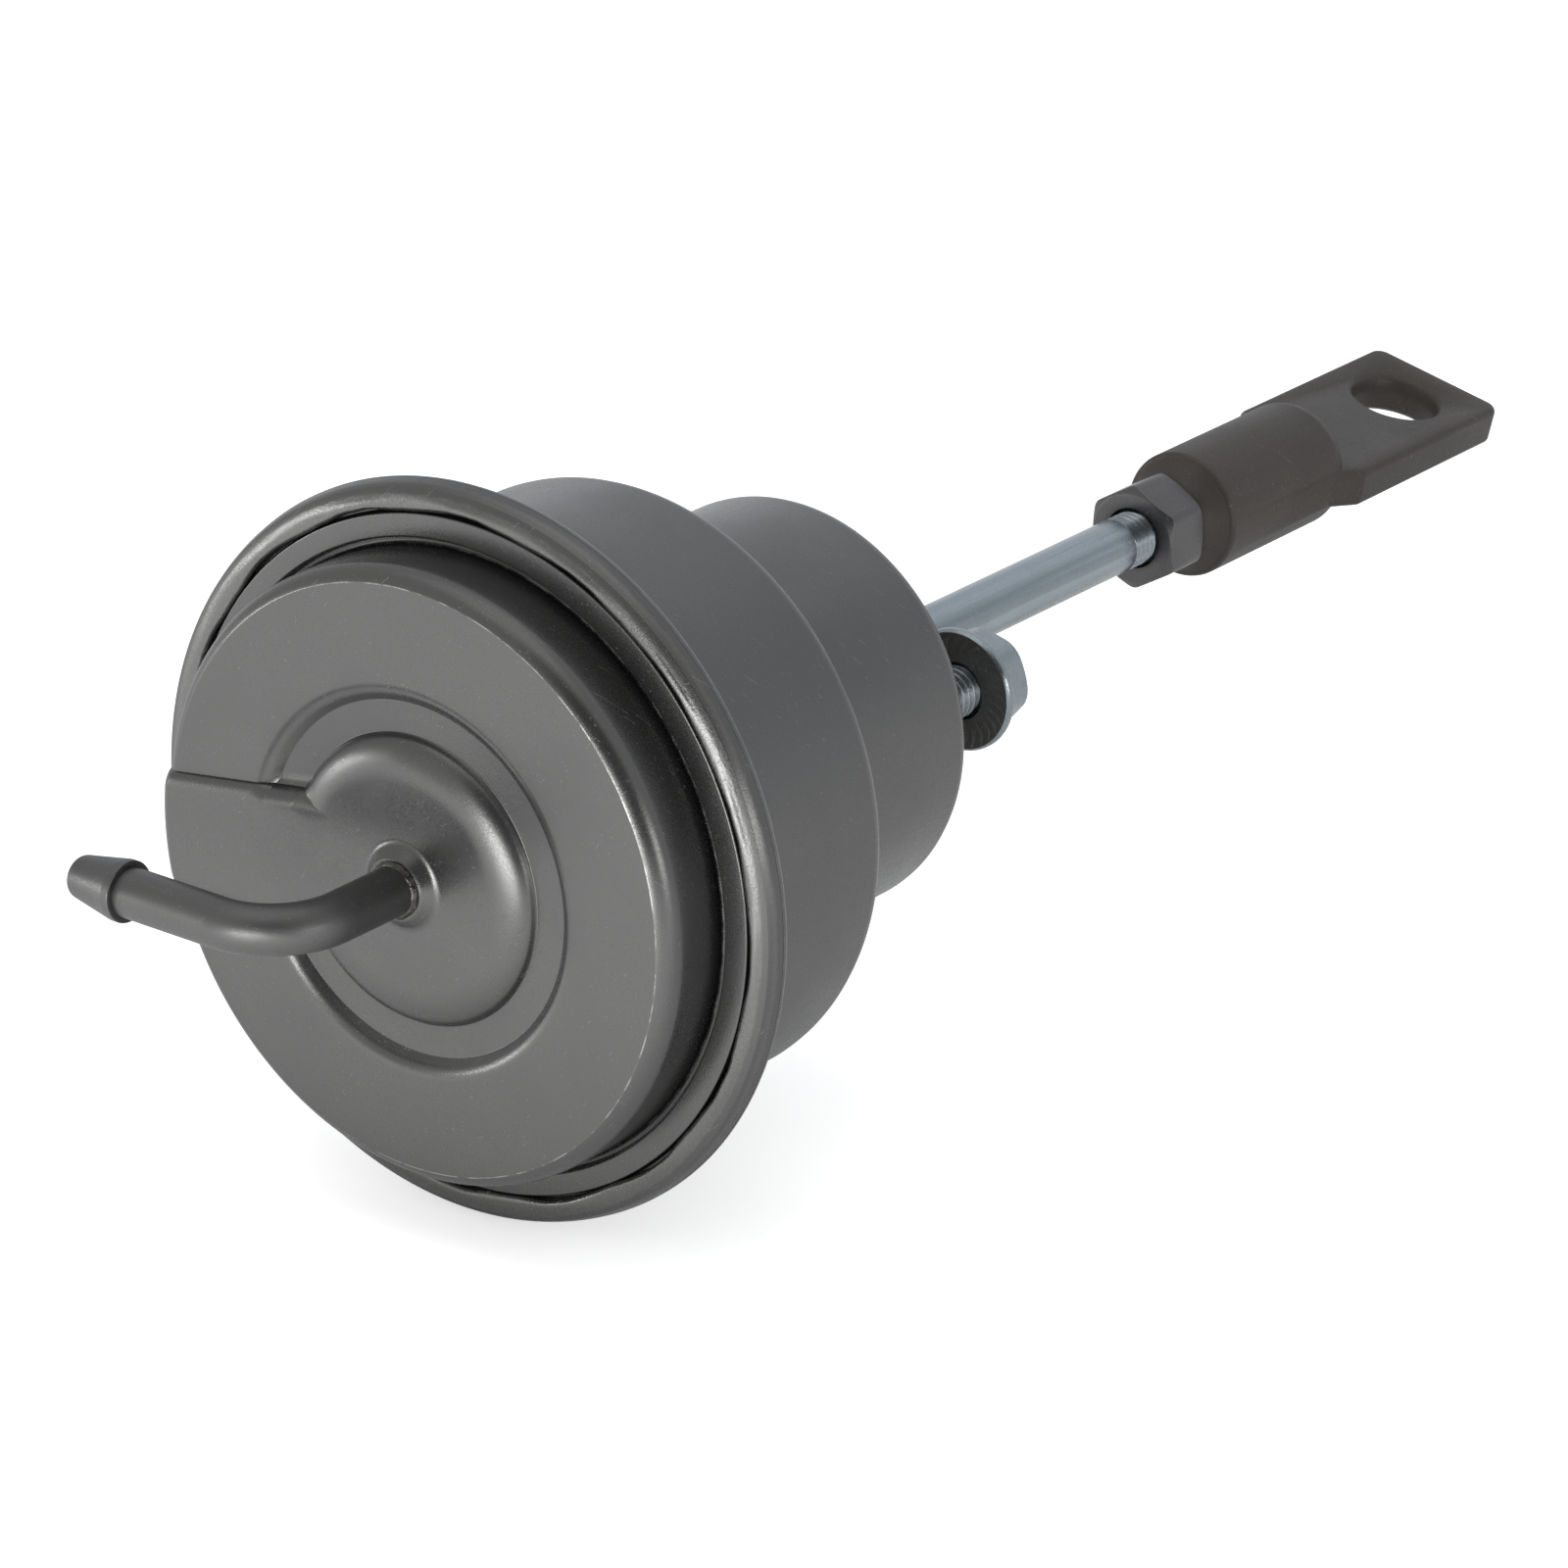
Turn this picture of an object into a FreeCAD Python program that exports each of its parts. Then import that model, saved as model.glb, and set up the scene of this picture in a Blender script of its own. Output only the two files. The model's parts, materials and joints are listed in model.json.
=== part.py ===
import FreeCAD, Part
import math
import os

# Wastegate actuator: a crimped steel pressure canister with a push rod.
# The rod's axis is X. The canister lies towards -X and the rod end towards +X.
# The origin is on that axis, on the flat rear face that the two studs stand out of.
# All sizes are in millimetres.

os.makedirs("parts", exist_ok=True)

X_AXIS = FreeCAD.Vector(1, 0, 0)
ORIGIN = FreeCAD.Vector(0, 0, 0)

# Rear wall: stud plate, studs and flange nuts
stud_radius = 3.0
stud_thread_radius = 2.82
stud_collar_radius = 3.3
stud_clearance = 0.05
stud_circle_radius = 15.0
stud_turn = -5.8
stud_shank_length = 4.8
stud_head_radius = 4.6
stud_head_thickness = 1.4
stud_chamfer = 0.5
stud_past_nut = 2.0
stud_plate_thickness = 2.4
stud_plate_margin = 0.8
stud_plate_radius = stud_circle_radius + stud_head_radius + stud_plate_margin
nut_seat_x = 8.4
nut_height = 6.0
nut_flats = 10.0
nut_flange_radius = 6.9
nut_flange_edge = 1.1
nut_turn = 12.0
stud_tip_x = nut_seat_x + nut_height + stud_past_nut

# Casing: the stepped rear can with the rolled rim
casing_sheet = 0.9
neck_clearance = 1.8
neck_radius = stud_plate_radius + neck_clearance + casing_sheet
neck_length = 29.0
drum_length = 25.4
drum_edge = 2.4
drum_foot = 1.6
rim_radius = 40.0
rim_overhang = 6.9
rim_width = 4.2
rim_corner = 1.8
rim_foot = 1.4
rim_shoulder = 1.1
rim_valley_x = 0.65
rim_valley_depth = 0.62
pressed_face_step = 0.95
lip_sides = 16
lip_width = 2.8
lip_corner_round = 4.0
lip_turn = 2.5
drum_radius = rim_radius - rim_overhang
rim_rear_x = -neck_length - drum_length
rim_front_x = rim_rear_x - rim_width
lip_flat_radius = rim_radius - lip_width

# Cap: the pressed front cover
cap_sheet = 1.0
cap_flange_gap = 0.8
cap_flange_radius = rim_radius - casing_sheet - cap_flange_gap
cap_flange_x = rim_front_x + casing_sheet
cap_land_height = 0.3
lip_gap = 0.9
cap_land_radius = lip_flat_radius - lip_gap
cap_land_width = 2.1
cap_channel_depth = 0.75
cap_channel_width = 0.9
cap_channel_radius = cap_land_radius - cap_land_width
cap_wall_radius = cap_channel_radius - cap_channel_width
cap_rise = 7.6
cap_face_x = rim_front_x - cap_rise
cap_edge = 1.5
groove_outer_radius = 20.0
groove_width = 4.4
groove_inner_radius = groove_outer_radius - groove_width
groove_depth = 1.2
boss_height = 1.0
boss_edge = 1.9
boss_x = cap_face_x - boss_height

# Raised pad that joins the boss to the cap's edge
pad_start_y = 6.0
pad_upper_half = 8.6
pad_upper_taper = 0.12
pad_lower_half = 8.3
pad_edge = 0.6
pad_draft = 0.45
pad_root = 2.5

# Inlet tube with its hose barb, and the collar that holds it
tube_radius = 2.67
tube_wall = 0.87
tube_bore_radius = tube_radius - tube_wall
tube_lead = 10.3
tube_bend_radius = 8.1
tube_bend = 92.7
tube_leg_length = 12.6
tube_bend_x = boss_x - tube_lead
barb_radius = 3.3
barb_tip_radius = 2.2
barb_land = 0.9
barb_length = 7.1
collar_wall = 0.75
collar_foot = 1.85
collar_height = 1.3
braze_width = 0.5

# Push rod
rod_radius = 3.175
spigot_radius = 2.5
spigot_clearance = 0.05
rivet_radius = 4.4
rivet_height = 1.5
rod_tip_chamfer = 0.6

# Guide bush in the rear wall
bush_running_gap = 0.05
bush_bore_radius = rod_radius + bush_running_gap
bush_web = 0.6
bush_flange_width = 1.7
bush_flange = 1.0
bush_clearance = 0.1
bush_nose_x = 2.2
bush_flange_radius = stud_circle_radius - stud_head_radius - bush_web
bush_radius = bush_flange_radius - bush_flange_width
rear_hole_radius = bush_radius + bush_clearance

# Diaphragm and piston
stroke = 12.0
crown_depth = 4.7
crown_front_x = cap_face_x + crown_depth
roll_gap = 5.7
skirt_radius = drum_radius - casing_sheet - roll_gap
skirt_sheet = 1.0
crown_edge = 1.6
skirt_length = 15.5
skirt_end_x = crown_front_x + skirt_length
rubber = 0.8
rubber_clearance = 0.1
roll_length = 14.3
roll_x = crown_front_x + roll_length
plate_radius = 12.0
plate_thickness = 1.2
backing_radius = 9.0
backing_thickness = 1.5

# Main spring and its seat
wire_radius = 1.3
coil_radius = 16.5
coil_turns = 7.0
coil_points = 18
seat_outer_margin = 0.2
seat_inner_margin = 1.8
seat_sheet = 0.8
seat_lip = 3.2
seat_outer_radius = coil_radius + wire_radius + seat_outer_margin
seat_inner_radius = coil_radius - wire_radius - seat_inner_margin

# Lock nut and rod end
lock_nut_x = 64.0
lock_nut_height = 6.6
lock_nut_flats = 11.1
lock_nut_turn = 30.0
lock_nut_space = 3.4
sleeve_radius = 7.5
sleeve_x = lock_nut_x + lock_nut_height + lock_nut_space
sleeve_length = 25.5
sleeve_mouth_gap = 1.625
sleeve_mouth_radius = rod_radius + sleeve_mouth_gap
sleeve_mouth_depth = 9.0
sleeve_shoulder_x = sleeve_x + sleeve_length
sleeve_shoulder_round = 3.2
rod_in_sleeve = 18.0
rod_end_x = sleeve_x + rod_in_sleeve
tab_turn = 13.5
tab_half_width = 9.15
tab_thickness = 4.8
tab_corner = 1.8
tab_edge = 0.8
tab_neck_back = 3.9
tab_neck_length = 4.0
tab_neck_x = sleeve_shoulder_x - tab_neck_back
tab_full_x = tab_neck_x + tab_neck_length
eye_reach = 20.4
eye_x = sleeve_shoulder_x + eye_reach
eye_radius = 5.25
eye_edge = 0.6
eye_land = 4.75
tab_end_x = eye_x + eye_radius + eye_land

# Spare length by which a cutting tool runs past what it cuts
overrun = 1.0


def unit(a, b):
    length = math.hypot(b[0] - a[0], b[1] - a[1])
    return ((b[0] - a[0]) / length, (b[1] - a[1]) / length)


def half_angle(before, here, after):
    u = unit(here, before)
    v = unit(here, after)
    dot = max(-1.0, min(1.0, u[0] * v[0] + u[1] * v[1]))
    return math.acos(dot) / 2.0


def limited_radii(points):
    """Corner radii of a closed outline, where two that share a short wall are cut back to fit it."""
    count = len(points)
    reaches = []
    for i in range(count):
        half = half_angle(points[i - 1], points[i], points[(i + 1) % count])
        flat = half > math.pi / 2 - 0.001
        reaches.append(0 if flat else max(0, points[i][2]) / math.tan(half))
    radii = [max(0, p[2]) for p in points]
    for i in range(count):
        j = (i + 1) % count
        wall = math.hypot(points[j][0] - points[i][0], points[j][1] - points[i][1])
        need = reaches[i] + reaches[j]
        if need > wall:
            radii[i] = min(radii[i], points[i][2] * wall / need)
            radii[j] = min(radii[j], points[j][2] * wall / need)
    return radii


def rounded_wire(points):
    """Closed wire in the X-Y plane through (x, y, corner radius) points."""
    edges = []
    count = len(points)
    starts = []
    ends = []
    arcs = []
    radii = limited_radii(points)
    for i in range(count):
        before = points[i - 1]
        here = points[i]
        after = points[(i + 1) % count]
        u = unit(here, before)
        v = unit(here, after)
        half = half_angle(before, here, after)
        corner = FreeCAD.Vector(here[0], here[1], 0)
        if radii[i] <= 0 or half > math.pi / 2 - 0.001:
            starts.append(corner)
            ends.append(corner)
            arcs.append(None)
            continue
        reach = radii[i] / math.tan(half)
        centre_reach = radii[i] / math.sin(half)
        bis = FreeCAD.Vector(u[0] + v[0], u[1] + v[1], 0)
        bis.normalize()
        centre = corner + bis * centre_reach
        first = corner + FreeCAD.Vector(u[0], u[1], 0) * reach
        last = corner + FreeCAD.Vector(v[0], v[1], 0) * reach
        middle = centre - bis * radii[i]
        starts.append(first)
        ends.append(last)
        arcs.append(Part.Arc(first, middle, last).toShape())
    for i in range(count):
        if arcs[i] is not None:
            edges.append(arcs[i])
        a = ends[i]
        b = starts[(i + 1) % count]
        if a.distanceToPoint(b) > 1e-5:
            edges.append(Part.makeLine(a, b))
    return Part.Wire(edges)


def turned(points):
    """Solid of revolution about X from a closed (x, radius, corner radius) outline."""
    face = Part.Face(rounded_wire(points))
    return face.revolve(ORIGIN, X_AXIS, 360)


def offset_path(path, distance):
    """The same path moved to its left, with its corner radii kept concentric."""
    moved = []
    count = len(path)
    dirs = [unit(path[i], path[i + 1]) for i in range(count - 1)]
    for i in range(count):
        x, y, r = path[i]
        if i == 0 or i == count - 1:
            d = dirs[0] if i == 0 else dirs[-1]
            moved.append((x - d[1] * distance, y + d[0] * distance, 0))
            continue
        d0 = dirs[i - 1]
        d1 = dirs[i]
        cross = d0[0] * d1[1] - d0[1] * d1[0]
        dot = d0[0] * d1[0] + d0[1] * d1[1]
        slide = distance * (1 - dot) / cross
        px = x - d0[1] * distance - d0[0] * slide
        py = y + d0[0] * distance - d0[1] * slide
        turned_radius = r - distance if cross > 0 else r + distance
        moved.append((px, py, max(0, turned_radius)))
    return moved


def pressed(path, sheet):
    """Sheet of even thickness on the left of a path, turned about X."""
    back = offset_path(path, sheet)
    back.reverse()
    return turned(path + back)


def ring(x0, x1, inner, outer):
    return turned([(x0, inner, 0), (x0, outer, 0), (x1, outer, 0), (x1, inner, 0)])


def hexagon(flats, x0, x1, turn):
    corner = flats / math.sqrt(3)
    pts = []
    for i in range(7):
        a = math.radians(60 * i + turn)
        pts.append(FreeCAD.Vector(x0, corner * math.cos(a), corner * math.sin(a)))
    face = Part.Face(Part.makePolygon(pts))
    return face.extrude(FreeCAD.Vector(x1 - x0, 0, 0))


def nut_body(flats, x0, x1, turn, front, back):
    """Hexagon whose corners are turned down at one end or both."""
    corner = flats / math.sqrt(3) + 0.05
    crest = flats / 2 * 0.96
    drop = (corner - crest) * math.tan(math.radians(30))
    outline = [(x0, 0, 0)]
    if front:
        outline += [(x0, crest, 0), (x0 + drop, corner, 0)]
    else:
        outline += [(x0, corner, 0)]
    if back:
        outline += [(x1 - drop, corner, 0), (x1, crest, 0)]
    else:
        outline += [(x1, corner, 0)]
    outline += [(x1, 0, 0)]
    return hexagon(flats, x0, x1, turn).common(turned(outline))


def casing_path():
    return [
        (0, rear_hole_radius, 0),
        (0, neck_radius, drum_edge),
        (-neck_length, neck_radius, drum_foot),
        (-neck_length, drum_radius, drum_edge),
        (rim_rear_x, drum_radius, rim_foot),
        (rim_rear_x, rim_radius, rim_corner),
        (rim_front_x + rim_shoulder, rim_radius, 0.6),
        (rim_front_x + rim_valley_x, rim_radius - rim_valley_depth, 0.35),
        (rim_front_x, rim_radius - pressed_face_step, 0.45),
        (rim_front_x, lip_flat_radius - 0.6, 0),
    ]


def lip_prism():
    """Faceted opening that the crimping jaws leave in the rim's front lip."""
    corner = lip_flat_radius / math.cos(math.pi / lip_sides)
    pts = []
    for i in range(lip_sides):
        a = math.radians(lip_turn) + 2 * math.pi * i / lip_sides
        pts.append((corner * math.cos(a), corner * math.sin(a), lip_corner_round))
    wire = rounded_wire(pts)
    prism = Part.Face(wire).extrude(FreeCAD.Vector(0, 0, casing_sheet + overrun))
    prism.rotate(ORIGIN, FreeCAD.Vector(1, 1, 1), 120)
    prism.translate(FreeCAD.Vector(rim_front_x - overrun + 0.001, 0, 0))
    return prism


def stud_places():
    places = []
    for side in (1, -1):
        a = math.radians(stud_turn)
        y = side * stud_circle_radius * math.cos(a)
        z = side * stud_circle_radius * math.sin(a)
        places.append(FreeCAD.Vector(0, y, z))
    return places


def make_casing():
    body = pressed(casing_path(), casing_sheet)
    body = body.cut(lip_prism())
    for place in stud_places():
        start = place + FreeCAD.Vector(-casing_sheet - overrun, 0, 0)
        hole = stud_collar_radius + stud_clearance
        body = body.cut(Part.makeCylinder(hole, casing_sheet + 2 * overrun, start, X_AXIS))
    return body


def cap_path():
    face = cap_face_x
    floor = face + groove_depth
    foot = tube_radius + collar_foot
    channel = cap_flange_x + cap_channel_depth
    land = cap_flange_x - cap_land_height
    return [
        (cap_flange_x, cap_flange_radius, 0),
        (cap_flange_x, cap_land_radius + 0.15, 0.1),
        (land, cap_land_radius, 0.1),
        (land, cap_channel_radius, 0.25),
        (channel, cap_channel_radius - 0.2, 0.2),
        (channel, cap_wall_radius, 0.5),
        (face, cap_wall_radius, cap_edge),
        (face, groove_outer_radius, 1.2),
        (floor, groove_outer_radius - 0.8, 0.3),
        (floor, groove_inner_radius, 0.8),
        (boss_x, groove_inner_radius - 1.3, boss_edge),
        (boss_x, foot, 0.9),
        (boss_x - collar_height, tube_radius + collar_wall, 0.25),
        (boss_x - collar_height, tube_radius, 0),
    ]


def solid_inside(path):
    """Solid plug bounded by a path that runs from the flange to the middle."""
    last = path[-1]
    first = path[0]
    outline = list(path)
    back = cap_flange_x + cap_sheet + cap_channel_depth + overrun
    outline.append((last[0], 0, 0))
    outline.append((back, 0, 0))
    outline.append((back, first[1], 0))
    return turned(outline)


def pad_slab(shrink, front, edge):
    """Raised pad as a drafted slab, narrower towards the cap's edge."""
    back = cap_face_x + groove_depth + pad_root
    sections = []
    y0 = pad_start_y
    y1 = rim_radius
    for x, grow in ((back, (back - front) * pad_draft), (front, 0.0)):
        h0 = pad_upper_half - pad_upper_taper * y0 + grow - shrink
        h1 = pad_upper_half - pad_upper_taper * y1 + grow - shrink
        low = grow - shrink + pad_lower_half
        pts = [(y0, -low), (y1, -low), (y1, h1), (y0, h0), (y0, -low)]
        wire = Part.makePolygon([FreeCAD.Vector(x, p[0], p[1]) for p in pts])
        sections.append(wire)
    slab = Part.makeLoft(sections, True, True)
    rims = []
    for e in slab.Edges:
        low = e.Vertexes[0].Point
        high = e.Vertexes[-1].Point
        at_front = abs(low.x - front) < 0.01 and abs(high.x - front) < 0.01
        along = abs(high.y - low.y) > (y1 - y0) / 2
        if at_front and along:
            rims.append(e)
    return slab.makeFillet(edge, rims)


def pad_envelope(front, radius, edge):
    """The cap's outline at the pad's level, which rounds the pad's outer end."""
    return turned([
        (front, 0, 0),
        (front, radius, edge),
        (cap_flange_x, radius, 0),
        (cap_flange_x, 0, 0),
    ])


def make_cap():
    outer_path = cap_path()
    inner_path = offset_path(outer_path, cap_sheet)
    outer = solid_inside(outer_path)
    pad = pad_slab(0.0, boss_x, pad_edge)
    outer = outer.fuse(pad.common(pad_envelope(boss_x, cap_wall_radius, cap_edge)))
    inner = solid_inside(inner_path)
    hollow = pad_slab(cap_sheet, boss_x + cap_sheet, 0.3)
    wall = cap_wall_radius - cap_sheet
    inner = inner.fuse(hollow.common(pad_envelope(boss_x + cap_sheet, wall, 0.5)))
    body = outer.cut(inner)
    mouth = FreeCAD.Vector(boss_x - collar_height - overrun, 0, 0)
    inlet = Part.makeCylinder(tube_radius, collar_height + cap_sheet + 2 * overrun, mouth, X_AXIS)
    return body.cut(inlet).removeSplitter()


def tube_point(along):
    """Place on the tube's bent leg, a distance beyond the bend's end."""
    turn = math.radians(tube_bend)
    x = tube_bend_x - tube_bend_radius * math.sin(turn) - along * math.cos(turn)
    y = tube_bend_radius * (1 - math.cos(turn)) + along * math.sin(turn)
    return FreeCAD.Vector(x, y, 0)


def tube_run(radius, start_x, leg):
    """Round bar of one radius from the cap through the bend to a place on the leg."""
    bend = tube_bend_radius
    half = math.radians(tube_bend / 2)
    first = FreeCAD.Vector(tube_bend_x, 0, 0)
    middle = first + FreeCAD.Vector(-bend * math.sin(half), bend * (1 - math.cos(half)), 0)
    last = tube_point(0)
    path = Part.Wire([
        Part.makeLine(FreeCAD.Vector(start_x, 0, 0), first),
        Part.Arc(first, middle, last).toShape(),
        Part.makeLine(last, tube_point(leg)),
    ])
    circle = Part.Wire(Part.makeCircle(radius, FreeCAD.Vector(start_x, 0, 0), X_AXIS))
    return path.makePipeShell([circle], True, False)


def make_barb():
    outline = [
        (0, 0, 0),
        (0, barb_radius, 0.15),
        (barb_land, barb_radius, 0.6),
        (barb_length, barb_tip_radius, 0.9),
        (barb_length, 0, 0),
    ]
    barb = turned(outline)
    barb.rotate(ORIGIN, FreeCAD.Vector(0, 0, 1), 180 - tube_bend)
    barb.translate(tube_point(tube_leg_length))
    return barb


def make_inlet_tube():
    start = boss_x + cap_sheet
    outer = tube_run(tube_radius, start, tube_leg_length + barb_land).fuse(make_barb())
    bore = tube_run(tube_bore_radius, start, tube_leg_length + barb_length)
    return outer.cut(bore).removeSplitter()


def make_braze_ring():
    x = boss_x - collar_height
    return turned([
        (x, tube_radius, 0),
        (x, tube_radius + braze_width, 0.1),
        (x - braze_width * 0.7, tube_radius, 0),
    ])


def make_diaphragm():
    front = crown_front_x - rubber
    inner = skirt_radius + rubber_clearance
    outer = drum_radius - casing_sheet - rubber_clearance
    land = cap_flange_x + cap_sheet
    channel = land + cap_channel_depth + rubber_clearance
    step = cap_channel_radius + cap_sheet + rubber_clearance
    bead = cap_flange_radius - rubber_clearance
    clamp = rim_rear_x - casing_sheet
    roll = (outer - inner) / 2 - 0.05
    return turned([
        (front, spigot_radius + 2 * spigot_clearance, 0),
        (front, inner + rubber, crown_edge + rubber_clearance + rubber),
        (roll_x - rubber, inner + rubber, roll - rubber),
        (roll_x - rubber, outer - rubber, roll - rubber),
        (channel, outer - rubber, 0.2),
        (channel, step, 0),
        (land, step + rubber_clearance, 0),
        (land, bead, 0.3),
        (clamp, bead, 0.3),
        (clamp, outer, 2.2),
        (roll_x, outer, roll),
        (roll_x, inner, roll),
        (crown_front_x, inner, crown_edge + rubber_clearance),
        (crown_front_x, spigot_radius + 2 * spigot_clearance, 0),
    ])


def make_piston_cup():
    path = [
        (crown_front_x, spigot_radius + spigot_clearance, 0),
        (crown_front_x, skirt_radius, crown_edge),
        (skirt_end_x, skirt_radius, 0),
    ]
    back = offset_path(path, -skirt_sheet)
    back.reverse()
    return turned(path + back)


def make_clamp_plate():
    x = crown_front_x - rubber
    return turned([
        (x, spigot_radius + spigot_clearance, 0),
        (x, plate_radius, 0.2),
        (x - plate_thickness, plate_radius - 0.6, 0.5),
        (x - plate_thickness, spigot_radius + spigot_clearance, 0),
    ])


def make_backing_washer():
    x = crown_front_x + skirt_sheet
    return turned([
        (x, spigot_radius + spigot_clearance, 0),
        (x, backing_radius, 0.2),
        (x + backing_thickness, backing_radius, 0.4),
        (x + backing_thickness, spigot_radius + spigot_clearance, 0),
    ])


def make_spring_seat():
    x = crown_front_x + skirt_sheet
    path = [
        (x, seat_outer_radius, 0),
        (x, seat_inner_radius, 0.9),
        (x + seat_lip, seat_inner_radius, 0),
    ]
    back = offset_path(path, seat_sheet)
    back.reverse()
    return turned(path + back)


def make_push_rod():
    shoulder = crown_front_x + skirt_sheet + backing_thickness
    head = crown_front_x - rubber - plate_thickness
    tip = rod_end_x
    return turned([
        (head - rivet_height, 0, 0),
        (head - rivet_height, rivet_radius - 1.0, 0.5),
        (head - 0.4, rivet_radius, 0.3),
        (head, rivet_radius, 0),
        (head, spigot_radius, 0),
        (shoulder, spigot_radius, 0),
        (shoulder, rod_radius, 0),
        (tip - rod_tip_chamfer, rod_radius, 0),
        (tip, rod_radius - rod_tip_chamfer, 0),
        (tip, 0, 0),
    ])


def coil_height(turn, length):
    """Height of the wire's centre after a number of turns; both end turns are closed."""
    closed = wire_radius * 2.06
    free = (length - 2 * closed) / (coil_turns - 2)
    if turn < 1:
        return closed * turn
    if turn > coil_turns - 1:
        return length - closed * (coil_turns - turn)
    return closed + free * (turn - 1)


def make_main_spring():
    x0 = crown_front_x + skirt_sheet + seat_sheet + wire_radius + 0.05
    x1 = -casing_sheet - stud_plate_thickness - wire_radius - 0.05
    length = x1 - x0
    pts = []
    steps = int(coil_turns * coil_points)
    for i in range(steps + 1):
        turn = i / coil_points
        a = 2 * math.pi * turn
        x = x0 + coil_height(turn, length)
        pts.append(FreeCAD.Vector(x, coil_radius * math.cos(a), coil_radius * math.sin(a)))
    curve = Part.BSplineCurve()
    curve.interpolate(pts)
    path = Part.Wire(curve.toShape())
    heading = curve.tangent(curve.FirstParameter)[0]
    circle = Part.Wire(Part.makeCircle(wire_radius, pts[0], heading))
    return path.makePipeShell([circle], True, True)


def make_stud_plate():
    """Round plate inside the rear wall that holds the stud heads and the bush's flange."""
    x0 = -casing_sheet - stud_plate_thickness
    x1 = -casing_sheet
    bore = bush_radius + bush_clearance
    seat = bush_flange_radius + bush_clearance
    plate = turned([
        (x0, bore, 0),
        (x0, stud_plate_radius, 0.3),
        (x1, stud_plate_radius, 0),
        (x1, seat, 0),
        (x1 - bush_flange, seat, 0),
        (x1 - bush_flange, bore, 0),
    ])
    for place in stud_places():
        start = place + FreeCAD.Vector(x0 - overrun, 0, 0)
        pit = Part.makeCylinder(
            stud_head_radius + stud_clearance, stud_head_thickness + overrun, start, X_AXIS)
        hole = Part.makeCylinder(
            stud_collar_radius + stud_clearance, stud_plate_thickness + 2 * overrun, start, X_AXIS)
        plate = plate.cut(pit).cut(hole)
    return plate


def make_stud(place):
    """Pressed-in stud: head and collar in the wall, plain shank, then the threaded length."""
    x0 = -casing_sheet - stud_plate_thickness
    neck = x0 + stud_head_thickness
    thread = stud_shank_length + stud_radius - stud_thread_radius
    stud = turned([
        (x0, 0, 0),
        (x0, stud_head_radius, 0),
        (neck, stud_head_radius, 0),
        (neck, stud_collar_radius, 0),
        (0, stud_collar_radius, 0),
        (0, stud_radius, 0),
        (stud_shank_length, stud_radius, 0),
        (thread, stud_thread_radius, 0),
        (stud_tip_x - stud_chamfer, stud_thread_radius, 0),
        (stud_tip_x, stud_thread_radius - stud_chamfer, 0),
        (stud_tip_x, 0, 0),
    ])
    stud.translate(place)
    return stud


def threaded_bore(x0, x1, radius, lead):
    """Bore along X with a countersink at each end."""
    wide = radius + lead + overrun
    return turned([
        (x0 - overrun, 0, 0),
        (x0 - overrun, wide, 0),
        (x0 + lead, radius, 0),
        (x1 - lead, radius, 0),
        (x1 + overrun, wide, 0),
        (x1 + overrun, 0, 0),
    ])


def make_flange_nut(place):
    x0 = nut_seat_x
    x1 = nut_seat_x + nut_height
    cone = x0 + nut_flange_edge + 0.9
    flange = turned([
        (x0, 0, 0),
        (x0, nut_flange_radius, 0.2),
        (x0 + nut_flange_edge, nut_flange_radius, 0.4),
        (cone, nut_flats / 2 - 0.1, 0),
        (cone, 0, 0),
    ])
    body = flange.fuse(nut_body(nut_flats, x0 + 0.5, x1, nut_turn, False, True))
    body = body.cut(threaded_bore(x0, x1, stud_thread_radius, 0.3)).removeSplitter()
    body.translate(place)
    return body


def make_guide_bush():
    """Flanged bush: its flange is held between the rear wall and the stud plate."""
    inside = -casing_sheet
    start = inside - stud_plate_thickness
    return turned([
        (start, bush_bore_radius + 0.4, 0),
        (start, bush_radius, 0.3),
        (inside - bush_flange, bush_radius, 0),
        (inside - bush_flange, bush_flange_radius, 0),
        (inside, bush_flange_radius, 0),
        (inside, bush_radius, 0),
        (bush_nose_x, bush_radius, 0.6),
        (bush_nose_x, bush_bore_radius + 0.4, 0),
        (bush_nose_x - 0.4, bush_bore_radius, 0),
        (start + 0.4, bush_bore_radius, 0),
    ])


def make_lock_nut():
    x0 = lock_nut_x
    x1 = lock_nut_x + lock_nut_height
    body = nut_body(lock_nut_flats, x0, x1, lock_nut_turn, True, True)
    return body.cut(threaded_bore(x0, x1, rod_radius, 0.4))


def tab_solid():
    """Flat eye plate, level, before it is turned about the rod."""
    outline = [
        (tab_neck_x - 3.0, -sleeve_radius + 1.0, 0),
        (tab_neck_x, -sleeve_radius + 0.2, 0.8),
        (tab_full_x, -tab_half_width, 1.2),
        (tab_end_x, -tab_half_width, tab_corner),
        (tab_end_x, tab_half_width, tab_corner),
        (tab_full_x, tab_half_width, 1.2),
        (tab_neck_x, sleeve_radius - 0.2, 0.8),
        (tab_neck_x - 3.0, sleeve_radius - 1.0, 0),
    ]
    face = Part.Face(rounded_wire(outline))
    slab = face.extrude(FreeCAD.Vector(0, 0, tab_thickness))
    slab.translate(FreeCAD.Vector(0, 0, -tab_thickness / 2))
    rims = []
    for e in slab.Edges:
        flat = abs(abs(e.CenterOfMass.z) - tab_thickness / 2) < 0.001
        if flat and e.CenterOfMass.x > tab_neck_x - 2:
            rims.append(e)
    slab = slab.makeFillet(tab_edge, rims)
    half = tab_thickness / 2
    eye = threaded_bore(-half, half, eye_radius, eye_edge)
    eye.rotate(ORIGIN, FreeCAD.Vector(0, 1, 0), 90)
    eye.translate(FreeCAD.Vector(eye_x, 0, 0))
    return slab.cut(eye)


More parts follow.
